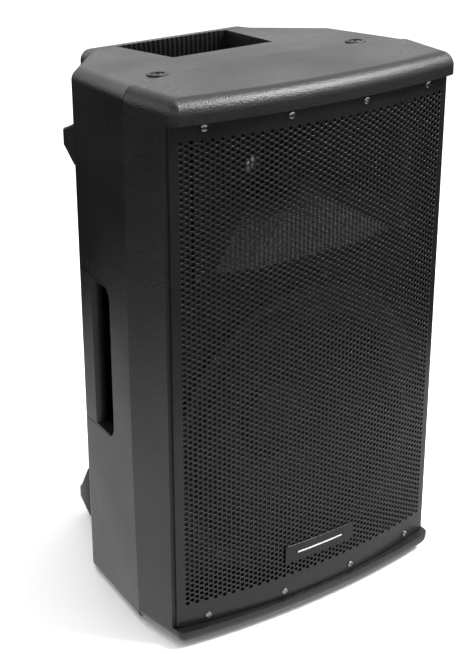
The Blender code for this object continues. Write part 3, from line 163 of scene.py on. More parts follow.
def solid(name, bm):
    """The bmesh as an object with its faces turned outwards."""
    bmesh.ops.recalc_face_normals(bm, faces=bm.faces)
    mesh = bpy.data.meshes.new(name)
    bm.to_mesh(mesh)
    bm.free()
    return link(name, mesh)


def box(name, low, high):
    bm = bmesh.new()
    bmesh.ops.create_cube(bm, size=1)
    low, high = Vector(low), Vector(high)
    bmesh.ops.scale(bm, vec=high - low, verts=bm.verts)
    bmesh.ops.translate(bm, vec=(low + high) / 2, verts=bm.verts)
    return solid(name, bm)


def prism(name, outline, axis, low, high):
    """An outline in the plane across axis, extruded from low to high along it."""
    place = {"X": lambda a, b, c: (c, a, b), "Z": lambda a, b, c: (a, b, c)}[axis]
    return loft(name, [[place(*point, end) for point in outline] for end in (low, high)])


def loft(name, rings, capped=True):
    """A closed solid through rings of equal point count."""
    bm = bmesh.new()
    loops = [[bm.verts.new(point) for point in ring] for ring in rings]
    for low, high in zip(loops, loops[1:]):
        for i in range(len(low)):
            j = (i + 1) % len(low)
            bm.faces.new((low[i], low[j], high[j], high[i]))
    if capped:
        bm.faces.new(list(reversed(loops[0])))
        bm.faces.new(loops[-1])
    return solid(name, bm)


def rods(name, radius, low, high, places, segments=48):
    """Cylinders along their own Z, from (place, turn) pairs, in one object."""
    bm = bmesh.new()
    for place, turn in places:
        made = bmesh.ops.create_cone(
            bm, cap_ends=True, segments=segments, radius1=radius, radius2=radius, depth=high - low
        )["verts"]
        bmesh.ops.translate(bm, vec=(0, 0, (low + high) / 2), verts=made)
        bmesh.ops.rotate(bm, matrix=Euler(turn).to_matrix(), verts=made)
        bmesh.ops.translate(bm, vec=place, verts=made)
    return solid(name, bm)


def turned(name, profile, place, turn, segments):
    """A (radius, height) outline, from axis to axis, turned round its own Z."""
    bm = bmesh.new()
    loops = []
    for radius, height in profile:
        if radius < 1e-6:
            loops.append([bm.verts.new((0, 0, height))])
            continue
        angles = [2 * pi * i / segments for i in range(segments)]
        loops.append([bm.verts.new((radius * cos(a), radius * sin(a), height)) for a in angles])
    for first, second in zip(loops, loops[1:]):
        for i in range(segments):
            j = (i + 1) % segments
            corners = [first[i % len(first)], first[j % len(first)]]
            corners += [second[j % len(second)], second[i % len(second)]]
            bm.faces.new(list(dict.fromkeys(corners)))
    matrix = Matrix.Translation(place) @ Euler(turn).to_matrix().to_4x4()
    bmesh.ops.transform(bm, matrix=matrix, verts=bm.verts)
    return solid(name, bm)


def settle(obj):
    """Makes the modifiers' result the object's own mesh."""
    graph = bpy.context.evaluated_depsgraph_get()
    mesh = bpy.data.meshes.new_from_object(obj.evaluated_get(graph))
    obj.modifiers.clear()
    obj.data = mesh
    return obj


def combine(obj, operation, *others):
    for other in others:
        step = obj.modifiers.new(other.name, "BOOLEAN")
        step.operation = operation
        step.object = other
    settle(obj)
    for other in others:
        bpy.data.objects.remove(other, do_unlink=True)
    return obj


def cut(obj, *others):
    return combine(obj, "DIFFERENCE", *others)


def keep(obj, *others):
    return combine(obj, "INTERSECT", *others)


def join(obj, *others):
    return combine(obj, "UNION", *others)


def edge_bevel(obj, width, angle):
    """A modifier that rounds the edges sharper than angle."""
    bevel = obj.modifiers.new("soft_edges", "BEVEL")
    bevel.width = width
    bevel.segments = 2
    bevel.limit_method = "ANGLE"
    bevel.angle_limit = radians(angle)
    return bevel


def soften(obj, width):
    edge_bevel(obj, width, SOFT_ANGLE).miter_outer = "MITER_ARC"
    return settle(obj)


def finished(obj, skin, stands_for, body=CABINET, sharp=SHARP_ANGLE):
    """Shades the piece, gives it its material and puts it on its body."""
    obj.data.materials.clear()
    obj.data.materials.append(skin)
    obj.data.shade_smooth()
    obj.data.set_sharp_from_angle(angle=radians(sharp))
    weigh = obj.modifiers.new("weighted_normals", "WEIGHTED_NORMAL")
    weigh.keep_sharp = True
    settle(obj)
    if body:
        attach(obj, body)
    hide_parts(*stands_for)
    return obj


# ---------------------------------------------------------------- outlines


def at(depth):
    """The y of a place this far behind the front of the lips."""
    return depth - DEPTH / 2


def bow(x, radius):
    """How far an arc of this radius has fallen back at x."""
    return radius - sqrt(radius * radius - x * x)


def arc(half, radius, setback):
    xs = [half * (2 * i / ARC_STEPS - 1) for i in range(ARC_STEPS + 1)]
    return [(x, at(setback + bow(x, radius))) for x in xs]


def rounded(corners, inset=0.0):
    """The outline through (x, y, radius) corners, counter-clockwise, moved in by inset and rounded."""
    points = []
    count = len(corners)
    for i in range(count):
        before, here, after = (Vector(corners[(i + step) % count][:2]) for step in (-1, 0, 1))
        came, goes = (here - before).normalized(), (after - here).normalized()
        left, next_left = Vector((-came.y, came.x)), Vector((-goes.y, goes.x))
        corner = here + (left + next_left) * (inset / (1 + left.dot(next_left)))
        if not corners[i][2]:
            points.append(tuple(corner))
            continue
        radius = max(corners[i][2] - inset, 0.0005)
        angle = atan2(came.x * goes.y - came.y * goes.x, came.dot(goes))
        start = corner - came * (radius * tan(angle / 2))
        centre = start + left * radius
        for step in range(CORNER_STEPS + 1):
            arm = Matrix.Rotation(angle * step / CORNER_STEPS, 2) @ (start - centre)
            points.append(tuple(centre + arm))
    return points


def filleted(name, corners, fillets, slope=0.0, wall=0.0):
    """An upright solid on a plan outline, its bottom and top edges filleted and its top falling rearward."""
    bottom_fillet, top_fillet = (max(fillet - wall, 0.001) for fillet in fillets)
    rings = []
    for step in range(FILLET_STEPS + 1):
        angle = radians(90) * step / FILLET_STEPS
        height = FLOOR + wall + bottom_fillet * (1 - cos(angle))
        outline = rounded(corners, wall + bottom_fillet * (1 - sin(angle)))
        rings.append([(x, y, height) for x, y in outline])
    for step in range(FILLET_STEPS + 1):
        angle = radians(90) * step / FILLET_STEPS
        height = TOP - wall - top_fillet * (1 - sin(angle))
        outline = rounded(corners, wall + top_fillet * (1 - cos(angle)))
        rings.append([(x, y, height - slope * max(0.0, y - at(SEAM_SIDE_DEPTH))) for x, y in outline])
    return loft(name, rings)


def side_x(depth):
    """The half width of the front shell."""
    slope = FRONT_DRAFT / (SEAM_SIDE_DEPTH - bow(FRONT_CORNER, LIP_BOW_RADIUS))
    return HALF_WIDTH + (depth - SEAM_SIDE_DEPTH) * slope


def body_x(depth):
    """The half width of the middle shell ahead of its chamfer."""
    share = (depth - SEAM_SIDE_DEPTH) / (CORNER_DEPTH - SEAM_SIDE_DEPTH)
    return HALF_WIDTH - SHELL_STEP - SIDE_TAPER * share


def body_top(depth):
    return TOP - BODY_TOP_SLOPE * max(0.0, depth - SEAM_SIDE_DEPTH)


def front_corners():
    """The front shell's plan: its front bows, and its front corners are rounded."""
    front = [(x, y, 0.0) for x, y in arc(FRONT_CORNER - ARC_MARGIN, LIP_BOW_RADIUS, 0.0)]
    corner = at(bow(FRONT_CORNER, LIP_BOW_RADIUS))
    sides = [(side_x(GRIP_START), at(GRIP_START), 0.0), (-side_x(GRIP_START), at(GRIP_START), 0.0)]
    return [(-FRONT_CORNER, corner, CORNER_RADIUS), *front, (FRONT_CORNER, corner, CORNER_RADIUS), *sides]


def body_corners():
    start = SEAM_SIDE_DEPTH - 0.03
    right = [
        (body_x(start), at(start), 0.0),
        (BODY_CORNER, at(CORNER_DEPTH), CORNER_RADIUS),
        (REAR_CORNER, at(REAR_SEAM), 0.0),
        (REAR_CORNER - REAR_DRAFT, at(REAR_FACE), REAR_CORNER_RADIUS),
    ]
    return right + [(-x, y, r) for x, y, r in reversed(right)]


def seam_block(name, forward):
    """Everything behind the front seam, which bows back in the middle of the front and of the sides."""
    rings = []
    middle = SEAM_SIDE_DEPTH + bow(HALF_WIDTH, SEAM_BOW_RADIUS)
    xs = [SEAM_REACH * (2 * i / ARC_STEPS - 1) for i in range(ARC_STEPS + 1)]
    back = at(DEPTH + OVERRUN)
    for level in range(SEAM_LEVELS + 1):
        share = level / SEAM_LEVELS
        side_bow = SEAM_SIDE_BOW * (1 - abs(2 * share - 1) ** 2)
        outline = []
        for x in xs:
            seam = middle - bow(x, SEAM_BOW_RADIUS) + side_bow * abs(x / SEAM_REACH) ** 2
            outline.append((x, at(seam - forward)))
        outline += [(SEAM_REACH, back), (-SEAM_REACH, back)]
        rings.append([(x, y, -THROUGH + (TOP + OVERRUN) * share) for x, y in outline])
    return loft(name, rings)


# ---------------------------------------------------------------- materials

PEBBLE_SMOOTHNESS = 0.6
FINE_GRAIN = 2.4  # how many times finer the second grain is
CLOUD_SCALE = 7.0
TONE_SCALE = 22.0
TONE_SPREAD = 0.15


def node(tree, kind, settings=None, **sockets):
    """A shader node; a socket, by its name or as n and its number, takes a value or another node's output."""
    made = tree.nodes.new(kind)
    for key, value in (settings or {}).items():
        setattr(made, key, value)
    for key, value in sockets.items():
        numbered = key[0] == "n" and key[1:].isdigit()
        socket = made.inputs[int(key[1:]) if numbered else key.replace("_", " ")]
        if isinstance(value, bpy.types.NodeSocket):
            tree.links.new(value, socket)
        else:
            socket.default_value = value
    return made


def ramp(tree, value, low, high, start, end):
    """value mapped from low..high to start..end."""
    limits = {"From_Min": low, "From_Max": high, "To_Min": start, "To_Max": end}
    return node(tree, "ShaderNodeMapRange", None, Value=value, **limits).outputs["Result"]


def noise(tree, place, scale, detail):
    made = node(tree, "ShaderNodeTexNoise", None, Vector=place, Scale=scale, Detail=detail, Roughness=0.5)
    return made.outputs["Fac"]


def moulded(name, colour, rough, grain, depth, spread=0.06, metallic=0.0):
    """A surface with pebbles grain wide and depth high, in metres, and with uneven gloss and tone."""
    made = bpy.data.materials.new(name)
    made.use_nodes = True
    tree = made.node_tree
    shader = tree.nodes["Principled BSDF"]
    place = node(tree, "ShaderNodeTexCoord").outputs["Object"]
    smooth = {"feature": "SMOOTH_F1"}
    scales = {"Scale": 1 / grain, "Smoothness": PEBBLE_SMOOTHNESS}
    pebbles = node(tree, "ShaderNodeTexVoronoi", smooth, Vector=place, **scales).outputs["Distance"]
    fine = noise(tree, place, FINE_GRAIN / grain, 2.0)
    height = node(tree, "ShaderNodeMath", {"operation": "ADD"}, n0=pebbles, n1=fine).outputs[0]
    bump = node(tree, "ShaderNodeBump", None, Height=height, Distance=depth, Strength=1.0)
    tree.links.new(bump.outputs["Normal"], shader.inputs["Normal"])
    cloudy = noise(tree, place, CLOUD_SCALE, 4.0)
    tree.links.new(ramp(tree, cloudy, 0.3, 0.7, rough - spread, rough + spread), shader.inputs["Roughness"])
    tone = ramp(tree, noise(tree, place, TONE_SCALE, 5.0), 0.25, 0.75, 0.0, 1.0)
    dark, light = ((*(share * c for c in colour), 1.0) for share in (1 - TONE_SPREAD, 1 + TONE_SPREAD))
    mix = node(tree, "ShaderNodeMix", {"data_type": "RGBA"}, n0=tone, n6=dark, n7=light).outputs[2]
    tree.links.new(mix, shader.inputs["Base Color"])
    shader.inputs["Metallic"].default_value = metallic
    return made


SHELL = moulded("shell_plastic", (0.0085, 0.0085, 0.0088), 0.32, 0.0020, 0.00030, spread=0.08)
GRILLE_PAINT = moulded("grille_paint", (0.008, 0.008, 0.0085), 0.27, 0.0005, 0.00003)
NICKEL = moulded("nickel", (0.42, 0.39, 0.34), 0.27, 0.0006, 0.00002, metallic=1.0, spread=0.05)
PLATE = moulded("badge_plate", (0.03, 0.03, 0.032), 0.25, 0.0006, 0.00002, metallic=0.7, spread=0.04)
BOLT_STEEL = moulded("bolt_steel", (0.10, 0.10, 0.10), 0.32, 0.0006, 0.00002, metallic=1.0, spread=0.05)
PALE_BAR = moulded("badge_bar", (0.55, 0.55, 0.55), 0.35, 0.0006, 0.00001, metallic=0.3, spread=0.04)
FRAME_PAINT = moulded("frame_paint", (0.03, 0.03, 0.032), 0.48, 0.0008, 0.00005, metallic=0.3)
FERRITE = moulded("ferrite", (0.09, 0.09, 0.10), 0.5, 0.0009, 0.0001, metallic=0.4)
PAPER = moulded("cone_paper", (0.014, 0.014, 0.015), 0.8, 0.0013, 0.00025)
ROLL_CLOTH = moulded("surround_cloth", (0.012, 0.012, 0.012), 0.75, 0.0009, 0.0003)
SPIDER_CLOTH = moulded("spider_cloth", (0.55, 0.36, 0.14), 0.88, 0.0010, 0.0003)
COPPER = moulded("coil_copper", (0.72, 0.38, 0.18), 0.35, 0.0006, 0.0002, metallic=1.0)
HORN_PLASTIC = moulded("horn_plastic", (0.006, 0.006, 0.0065), 0.52, 0.0009, 0.00004)
PLUG_METAL = moulded("plug_metal", (0.80, 0.80, 0.78), 0.42, 0.0007, 0.00003, metallic=0.2)
RUBBER = moulded("rubber", (0.018, 0.018, 0.018), 0.85, 0.0009, 0.0001)
KNOB_PLASTIC = moulded("knob_plastic", (0.018, 0.018, 0.018), 0.55, 0.0006, 0.00004)
PANEL_PAINT = moulded("panel_paint", (0.022, 0.022, 0.024), 0.42, 0.0005, 0.00006)
ANODISED = moulded("anodised", (0.035, 0.035, 0.04), 0.38, 0.0005, 0.00003, metallic=0.8)
JACK_PLASTIC = moulded("jack_plastic", (0.018, 0.018, 0.020), 0.38, 0.0005, 0.00003)
LATCH_PLASTIC = moulded("latch_plastic", (0.42, 0.42, 0.43), 0.40, 0.0005, 0.00003)
BOARD = moulded("board", (0.02, 0.15, 0.06), 0.5, 0.0010, 0.00005)

SLOT_SKINS = {
    "shell_plastic": SHELL,
    "grille_steel": GRILLE_PAINT,
    "screw_steel": NICKEL,
    "badge_metal": PLATE,
    "frame_metal": FRAME_PAINT,
    "magnet_metal": FERRITE,
    "cone_paper": PAPER,
    "surround_cloth": ROLL_CLOTH,
    "spider_cloth": SPIDER_CLOTH,
    "coil_copper": COPPER,
    "horn_plastic": HORN_PLASTIC,
    "plug_metal": PLUG_METAL,
    "rubber": RUBBER,
    "knob_plastic": KNOB_PLASTIC,
    "panel_metal": PANEL_PAINT,
    "sink_metal": ANODISED,
    "jack_plastic": JACK_PLASTIC,
    "latch_plastic": LATCH_PLASTIC,
    "board_green": BOARD,
}


def carried_over():
    """Every CAD node takes its slot's material and gets softened edges."""
    for part in frame["record"]["subparts"]:
        shown = NODES[part["node"]]
        skin = SLOT_SKINS[part["material_slot"]]
        if shown.data.materials:
            shown.data.materials[0] = skin
        else:
            shown.data.materials.append(skin)
        for slot in shown.material_slots:
            slot.material = skin
        shown.data.shade_smooth()
        shown.data.set_sharp_from_angle(angle=radians(SHARP_ANGLE))
        edge_bevel(shown, CARRIED_EDGE, CARRIED_ANGLE).harden_normals = True


# ---------------------------------------------------------------- shells

SIDES = (("left", -1), ("right", 1))
GRILLE_SCREWS = 8
GRILLE_CLEARANCE = 0.0006
GRILLE_LOW = GRILLE_BOX[0].z - GRILLE_CLEARANCE
GRILLE_HIGH = GRILLE_BOX[1].z + GRILLE_CLEARANCE
GRILLE_HALF_WIDTH = GRILLE_BOX[1].x
WOOFER_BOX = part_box("woofer_frame")
WOOFER_RADIUS = WOOFER_BOX[1].x
WOOFER_Z = (WOOFER_BOX[0].z + WOOFER_BOX[1].z) / 2
WOOFER_SEAT = 0.0165  # width of the baffle's edge that the woofer's frame sits on
HORN_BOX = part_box("horn")
HORN_Z = (HORN_BOX[0].z + HORN_BOX[1].z) / 2
HORN_SIZE = (0.300, 0.180)
HORN_SEAT = 0.005
RECESS_CLEARANCE = 0.002  # between the side walls and the recess in front of the baffle
GRIP_LOW = FLOOR + 0.229
GRIP_HIGH = FLOOR + 0.430
GRIP_FLARE = 0.005
GRIP_CORNER = 0.018
GRIP_THICKNESS = 0.018
POCKET_X = BODY_CORNER - 0.0455
POCKET_BACK = CORNER_DEPTH + 0.018
POCKET_LOW = GRIP_LOW + 0.002
POCKET_HIGH = GRIP_HIGH - 0.002
POCKET_EASE = 0.004  # where the pocket's inner side starts to slope, ahead of the corner
POCKET_SLOPE = 0.014
NOSE_EASE = 1.02
NOTCH_REACH = REAR_CORNER - 0.02
NOTCH_BACK = REAR_SEAM + 0.02
TUB_OVERLAP = 0.0005  # how far the tubs' walls lie inside the spaces kept for them
TUB_CLEARANCE = 0.0004
TOP_GRIP_LENGTH = 0.113
TOP_GRIP_FRONT = 0.074
TOP_GRIP_REAR = 0.083
TOP_POCKET_DEPTH = 0.070
TOP_POCKET_FLOOR = TOP - TOP_POCKET_DEPTH - BODY_TOP_SLOPE * (REAR_SEAM - SEAM_SIDE_DEPTH)
TOP_BAR_UNDER = body_top(REAR_SEAM) - 0.030
TOP_TUB_OVERLAP = 0.002  # how far the top tub reaches into the back wall
TOP_CUT = 0.06  # how deep the opening is cut down through the top
FLOOR_LIP = 0.0002  # between the top pocket's floor and the space under its bar
RIB_PITCH = 0.0072
RIB_DEPTH = 0.0035
RIB_HOLLOW = 0.7  # the hollow's share of the pitch; the rest is land
RIB_FULLNESS = 0.6  # below 1 the hollow has steeper sides than a sine
RIB_MARGIN = 0.004
SIDE_RIB_WIDTH = 0.012
SIDE_RIB_CUT = 0.0045  # how far the side ribs reach into the bar
BUMPER_WIDTH = 0.040
BUMPER_OVERHANG = 0.015
BUMPER_CORNER = 0.004
BUMPERS = (  # label, lowest and highest point of the root, and of the nose
    ("upper", (0.522, 0.577), (0.540, 0.567)),
    ("lower", (0.004, 0.082), (0.022, 0.044)),
)
BUMPER_ROOT = (0.004, 0.030, 0.003)  # behind the rear seam, and in from the corner: inner and outer sides
BUMPER_NOSE = (  # how far before the end, in from the inner and outer sides, and in from the bottom and top
    (0.0060, 0.0065, 0.0008, 0.0),
    (0.0032, 0.0072, 0.0014, 0.0006),
    (0.0012, 0.0086, 0.0026, 0.0020),
    (0.0, 0.011, 0.005, 0.0045),
)
PANEL_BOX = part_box("amp_panel")
PANEL_LAP = 0.012
FLY_BOSS_RADIUS = 0.009
FLY_X = 0.145
FLY_DEPTH = 0.137
FLY_PLACES = [((side * FLY_X, at(FLY_DEPTH), body_top(FLY_DEPTH)), TOP_LEAN) for _, side in SIDES]
POLE_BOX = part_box("pole_cup")
POLE_HOLE_RADIUS = 0.0224


def sided(right, side):
    """A plan outline of the right side, mirrored for the left."""
    return right if side > 0 else [(-x, y) for x, y in reversed(right)]


def notch(name, side, inset, reach):
    """The side handle's opening through the side wall: rounded at its front and flaring to the rear."""
    front, back = at(GRIP_START), at(NOTCH_BACK)
    corners = [
        (front, GRIP_LOW, GRIP_CORNER),
        (back, GRIP_LOW - GRIP_FLARE, 0.0),
        (back, GRIP_HIGH + 2 * GRIP_FLARE, 0.0),
        (front, GRIP_HIGH, GRIP_CORNER),
    ]
    return prism(name, rounded(corners, inset), "X", *sorted((side * reach, side * FAR)))


def side_pocket_space(name, side):
    """The finger space: in through the side wall, and round behind the grip bar's rounded nose."""
    bar_outer = body_x(GRIP_END)
    bar_inner = bar_outer - GRIP_THICKNESS
    nose = GRIP_THICKNESS / 2
    middle = (bar_outer + bar_inner) / 2
    outline = [(POCKET_X, at(GRIP_START + GAP)), (FAR, at(GRIP_START + GAP)), (FAR, at(GRIP_END + nose))]
    for step in range(NOSE_STEPS + 1):
        angle = pi * step / NOSE_STEPS
        outline.append((middle + nose * cos(angle) * NOSE_EASE, at(GRIP_END + nose - nose * sin(angle))))
    outline += [
        (bar_inner, at(CORNER_DEPTH - POCKET_EASE)),
        (bar_inner - POCKET_SLOPE, at(POCKET_BACK)),
        (POCKET_X, at(POCKET_BACK)),
    ]
    return prism(name, sided(outline, side), "Z", POCKET_LOW, POCKET_HIGH)


def side_pocket_block(name, side, trim):
    """The side pocket's space with its walls, trimmed back all round."""
    ends = sorted((side * (POCKET_X - WALL + trim), side * FAR))
    return box(
        name,
        (ends[0], at(GRIP_START - WALL + trim), POCKET_LOW - WALL + trim),
        (ends[1], at(POCKET_BACK + WALL - trim), POCKET_HIGH + WALL - trim),
    )


def comb(low, high, base, depth):
    """(along, across) points of finger grooves from low to high: flat lands with rounded hollows between."""
    count = int((high - low) / RIB_PITCH)
    start = (low + high - count * RIB_PITCH) / 2
    land = (1 - RIB_HOLLOW) / 2
    points = []
    for i in range(count):
        for step in range(COMB_STEPS + 1):
            share = step / COMB_STEPS
            along = start + (i + land + RIB_HOLLOW * share) * RIB_PITCH
            points.append((along, base + depth * sin(pi * share) ** RIB_FULLNESS))
    return points


def rib_comb(name, side):
    """Finger grooves across the inner face of a side grip bar."""
    outer = body_x(GRIP_END) - GRIP_THICKNESS + SIDE_RIB_CUT
    ends = sorted((side * (outer - SIDE_RIB_WIDTH), side * outer))
    teeth = comb(POCKET_LOW, POCKET_HIGH, GRIP_END + RIB_MARGIN, 2 * RIB_DEPTH)
    front = at(GRIP_END - RIB_MARGIN)
    outline = [(front, teeth[0][0]), *((at(depth), z) for z, depth in teeth), (front, teeth[-1][0])]
    return prism(name, outline, "X", *ends)


def top_opening(name):
    """The top handle's opening, narrower at the front, with finger grooves in the bar behind it."""
    front, back = at(REAR_SEAM - TOP_GRIP_LENGTH), at(REAR_SEAM + GAP)
    outline = [(-TOP_GRIP_FRONT, front), (TOP_GRIP_FRONT, front), (TOP_GRIP_REAR, back)]
    teeth = comb(-TOP_GRIP_REAR + RIB_MARGIN, TOP_GRIP_REAR - RIB_MARGIN, REAR_SEAM + GAP, RIB_DEPTH)
    outline += [(x, at(depth)) for x, depth in reversed(teeth)]
    outline.append((-TOP_GRIP_REAR, back))
    return prism(name, outline, "Z", TOP_POCKET_FLOOR, TOP + OVERRUN)


def top_pocket_block(name, trim):
    """The top pocket's space with its walls, trimmed back all round."""
    front = REAR_SEAM - TOP_GRIP_LENGTH
    half = TOP_GRIP_REAR + WALL - trim
    return box(
        name,
        (-half, at(front - WALL + trim), TOP_POCKET_FLOOR - WALL + trim),
        (half, at(REAR_FACE - WALL + TOP_TUB_OVERLAP + trim), TOP + OVERRUN),
    )


def bumper(name, root, nose, side):
    """A buttress that flares out of the rear shell's corner and ends in a narrow, rounded nose."""
    outer = REAR_CORNER - REAR_DRAFT + BUMPER_OVERHANG
    inner = outer - BUMPER_WIDTH
    behind, inner_root, outer_root = BUMPER_ROOT
    stations = [
        (REAR_SEAM + behind, REAR_CORNER - inner_root, REAR_CORNER - outer_root, root, 0.0),
        (REAR_FACE, inner, outer, root, 0.0),
    ]
    for before, inner_draw, outer_draw, draw in BUMPER_NOSE:
        stations.append((DEPTH - before, inner + inner_draw, outer - outer_draw, nose, draw))
    rings = []
    for depth, inner_x, outer_x, (low, high), draw in stations:
        low, high = FLOOR + low + draw, FLOOR + high - draw
        corners = [(inner_x, low), (outer_x, low), (outer_x, high), (inner_x, high)]
        outline = rounded([(*corner, BUMPER_CORNER) for corner in corners])
        rings.append([(side * x, at(depth), z) for x, z in outline])
    return loft(name, rings)


def screw_places():
    """((x, y, z), turn) of each grille screw, from the CAD screws."""
    places = []
    for i in range(1, GRILLE_SCREWS + 1):
        low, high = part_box(f"grille_screw_{i}")
        x, z = (low.x + high.x) / 2, (low.z + high.z) / 2
        y = at(GRILLE_SETBACK + bow(x, GRILLE_BOW_RADIUS))
        places.append(((x, y, z), (*FACE_FRONT[:2], asin(x / GRILLE_BOW_RADIUS))))
    return places


def front_shell():
    fillets = (LIP_FILLET, LIP_FILLET)
    shell = filleted("front_moulding", front_corners(), fillets)
    back = BAFFLE_DEPTH + BAFFLE_THICKNESS
    inner = side_x(BAFFLE_DEPTH) - WALL - RECESS_CLEARANCE
    seat_setback = GRILLE_SETBACK + GRILLE_FOLD + GAP
    ledge_back = seat_setback + bow(inner, GRILLE_BOW_RADIUS) + WALL
    seat = arc(HALF_WIDTH + SPARE, GRILLE_BOW_RADIUS, seat_setback)
    hollow_corners = [
        (-side_x(back), at(back - WALL), 0.0),
        (side_x(back), at(back - WALL), 0.0),
        (side_x(GRIP_START), at(GRIP_START + WALL), 0.0),
        (-side_x(GRIP_START), at(GRIP_START + WALL), 0.0),
    ]
    horn_x, horn_z = (size / 2 - HORN_SEAT for size in HORN_SIZE)
    woofer_place = ((0, at(back - BAFFLE_THICKNESS / 2), WOOFER_Z), FACE_FRONT)
    return cut(
        shell,
        seam_block("behind_front_seam", FRONT_SEAM / 2),
        prism("grille_recess", seat + [(FAR, -FAR), (-FAR, -FAR)], "Z", GRILLE_LOW, GRILLE_HIGH),
        box(
            "baffle_recess",
            (-inner, -FAR, GRILLE_LOW + LOW_LEDGE),
            (inner, at(BAFFLE_DEPTH), GRILLE_HIGH - HIGH_LEDGE),
        ),
        filleted("front_hollow", hollow_corners, fillets, wall=WALL),
        box(
            "top_lip_hollow",
            (-inner + WALL, at(ledge_back), GRILLE_HIGH - HIGH_LEDGE + WALL),
            (inner - WALL, at(back + SLIVER), TOP - WALL - SLIVER),
        ),
        box(
            "bottom_lip_hollow",
            (-inner + WALL, at(ledge_back), FLOOR + WALL + SLIVER),
            (inner - WALL, at(back + SLIVER), GRILLE_LOW + LOW_LEDGE - WALL),
        ),
        rods("woofer_hole", WOOFER_RADIUS - WOOFER_SEAT, -THROUGH, THROUGH, [woofer_place], 96),
        box(
            "horn_hole",
            (-horn_x, at(BAFFLE_DEPTH - SPARE), HORN_Z - horn_z),
            (horn_x, at(back + SPARE), HORN_Z + horn_z),
        ),
    )


def mid_shell():
    fillets = (BODY_BOTTOM_FILLET, BODY_TOP_FILLET)
    shell = filleted("middle_moulding", body_corners(), fillets, BODY_TOP_SLOPE)
    keep(shell, seam_block("behind_mid_seam", -FRONT_SEAM / 2))
    front, back = at(REAR_SEAM - TOP_GRIP_LENGTH), at(REAR_SEAM + SPARE)
    half_front, half_back = TOP_GRIP_FRONT, TOP_GRIP_REAR + SEAM_GAP
    opening = [(-half_front, front), (half_front, front), (half_back, back), (-half_back, back)]
    pole = ((0, (POLE_BOX[0].y + POLE_BOX[1].y) / 2, FLOOR), (0, 0, 0))
    return cut(
        shell,
        box("behind_rear_seam", (-FAR, at(REAR_SEAM), -FAR), (FAR, FAR, 2 * TOP)),
        filleted("mid_hollow", body_corners(), fillets, BODY_TOP_SLOPE, wall=WALL),
        *[notch(name + "_grip_opening", side, 0.0, NOTCH_REACH) for name, side in SIDES],
        prism("top_grip_opening", opening, "Z", TOP - TOP_CUT, TOP + OVERRUN),
        rods("fly_holes", FLY_BOSS_RADIUS + GAP, -THROUGH, THROUGH, FLY_PLACES),
        rods("pole_hole", POLE_HOLE_RADIUS, -THROUGH, THROUGH, [pole]),
    )


def rear_shell():
    fillets = (BODY_BOTTOM_FILLET, BODY_TOP_FILLET)
    shell = filleted("rear_moulding", body_corners(), fillets, BODY_TOP_SLOPE)
    zone = box("rear_zone", (-FAR, at(REAR_SEAM + SEAM_GAP), -FAR), (FAR, FAR, 2 * TOP))
    reach = NOTCH_REACH + SEAM_GAP
    join(zone, *[notch(name + "_grip_zone", side, SEAM_GAP, reach) for name, side in SIDES])
    keep(shell, zone)
    hollow = filleted("rear_hollow", body_corners(), fillets, BODY_TOP_SLOPE, wall=WALL)
    cut(
        hollow,
        top_pocket_block("top_pocket_kept", 0.0),
        *[side_pocket_block(name + "_pocket_kept", side, 0.0) for name, side in SIDES],
    )
    cut(shell, hollow)
    tubs = [side_pocket_block(name + "_tub", side, TUB_OVERLAP) for name, side in SIDES]
    for tub in (*tubs, top_pocket_block("top_tub", TUB_OVERLAP)):
        keep(tub, filleted("tub_room", body_corners(), fillets, BODY_TOP_SLOPE, wall=WALL + TUB_CLEARANCE))
        join(shell, tub)
    under_bar = box(
        "under_top_bar",
        (-TOP_GRIP_FRONT, at(REAR_SEAM - SPARE), TOP_POCKET_FLOOR + FLOOR_LIP),
        (TOP_GRIP_FRONT, at(REAR_FACE - WALL - SLIVER), TOP_BAR_UNDER),
    )
    panel_low, panel_high = PANEL_BOX
    panel_hole = box(
        "panel_hole",
        (panel_low.x + PANEL_LAP, at(REAR_FACE - THROUGH), panel_low.z + PANEL_LAP),
        (panel_high.x - PANEL_LAP, at(REAR_FACE + SPARE), panel_high.z - PANEL_LAP),
    )
    spaces = [side_pocket_space(name + "_pocket_space", side) for name, side in SIDES]
    ribs = [rib_comb(name + "_ribs", side) for name, side in SIDES]
    cut(shell, *spaces, *ribs)
    for name, side in SIDES:
        join(shell, *[bumper(f"{name}_{label}", root, nose, side) for label, root, nose in BUMPERS])
    return cut(shell, top_opening("top_finger_space"), under_bar, panel_hole)


def shells():
    made = ((front_shell(), "front_shell"), (mid_shell(), "mid_shell"), (rear_shell(), "rear_shell"))
    for shell, stands_for in made:
        soften(shell, SEAM_ROUNDING)
        finished(shell, SHELL, [stands_for])


# ---------------------------------------------------------------- grille

HOLE_PITCH = 0.007
HOLE_RADIUS = 0.0025
HOLE_ROLL = 0.0006  # rounding of each hole's front edge
COLUMN_SPACING = HOLE_PITCH * sin(radians(60))
COLUMNS = 63
HOLES_DOWN = 84  # in every other column, and one fewer in those between
FIELD_RISE = 0.0055  # the perforated field sits this far above the grille's middle
FIELD_MIDDLE = round((GRILLE_LOW + GRILLE_HIGH) / 2 + FIELD_RISE, 5)
CELL_ANGLES = np.radians(30 * np.arange(12))
BANDS = 4
FOLD_RADIUS = 0.0012
RIM_CORNER = 0.0015
RIM_ACROSS = 64
RIM_UP = 96
GRID = 1e6  # points are matched to the nearest micrometre


def on_bow(points):
    """(across, up, depth) points as places on the bowed sheet, depth being measured into it."""
    across, up, depth = np.asarray(points, float).reshape(-1, 3).T
    share = 1 - depth / GRILLE_BOW_RADIUS
    centre = at(GRILLE_SETBACK) + GRILLE_BOW_RADIUS
    back = np.sqrt(GRILLE_BOW_RADIUS**2 - across**2)
    return np.stack([across * share, centre - back * share, up], axis=1)


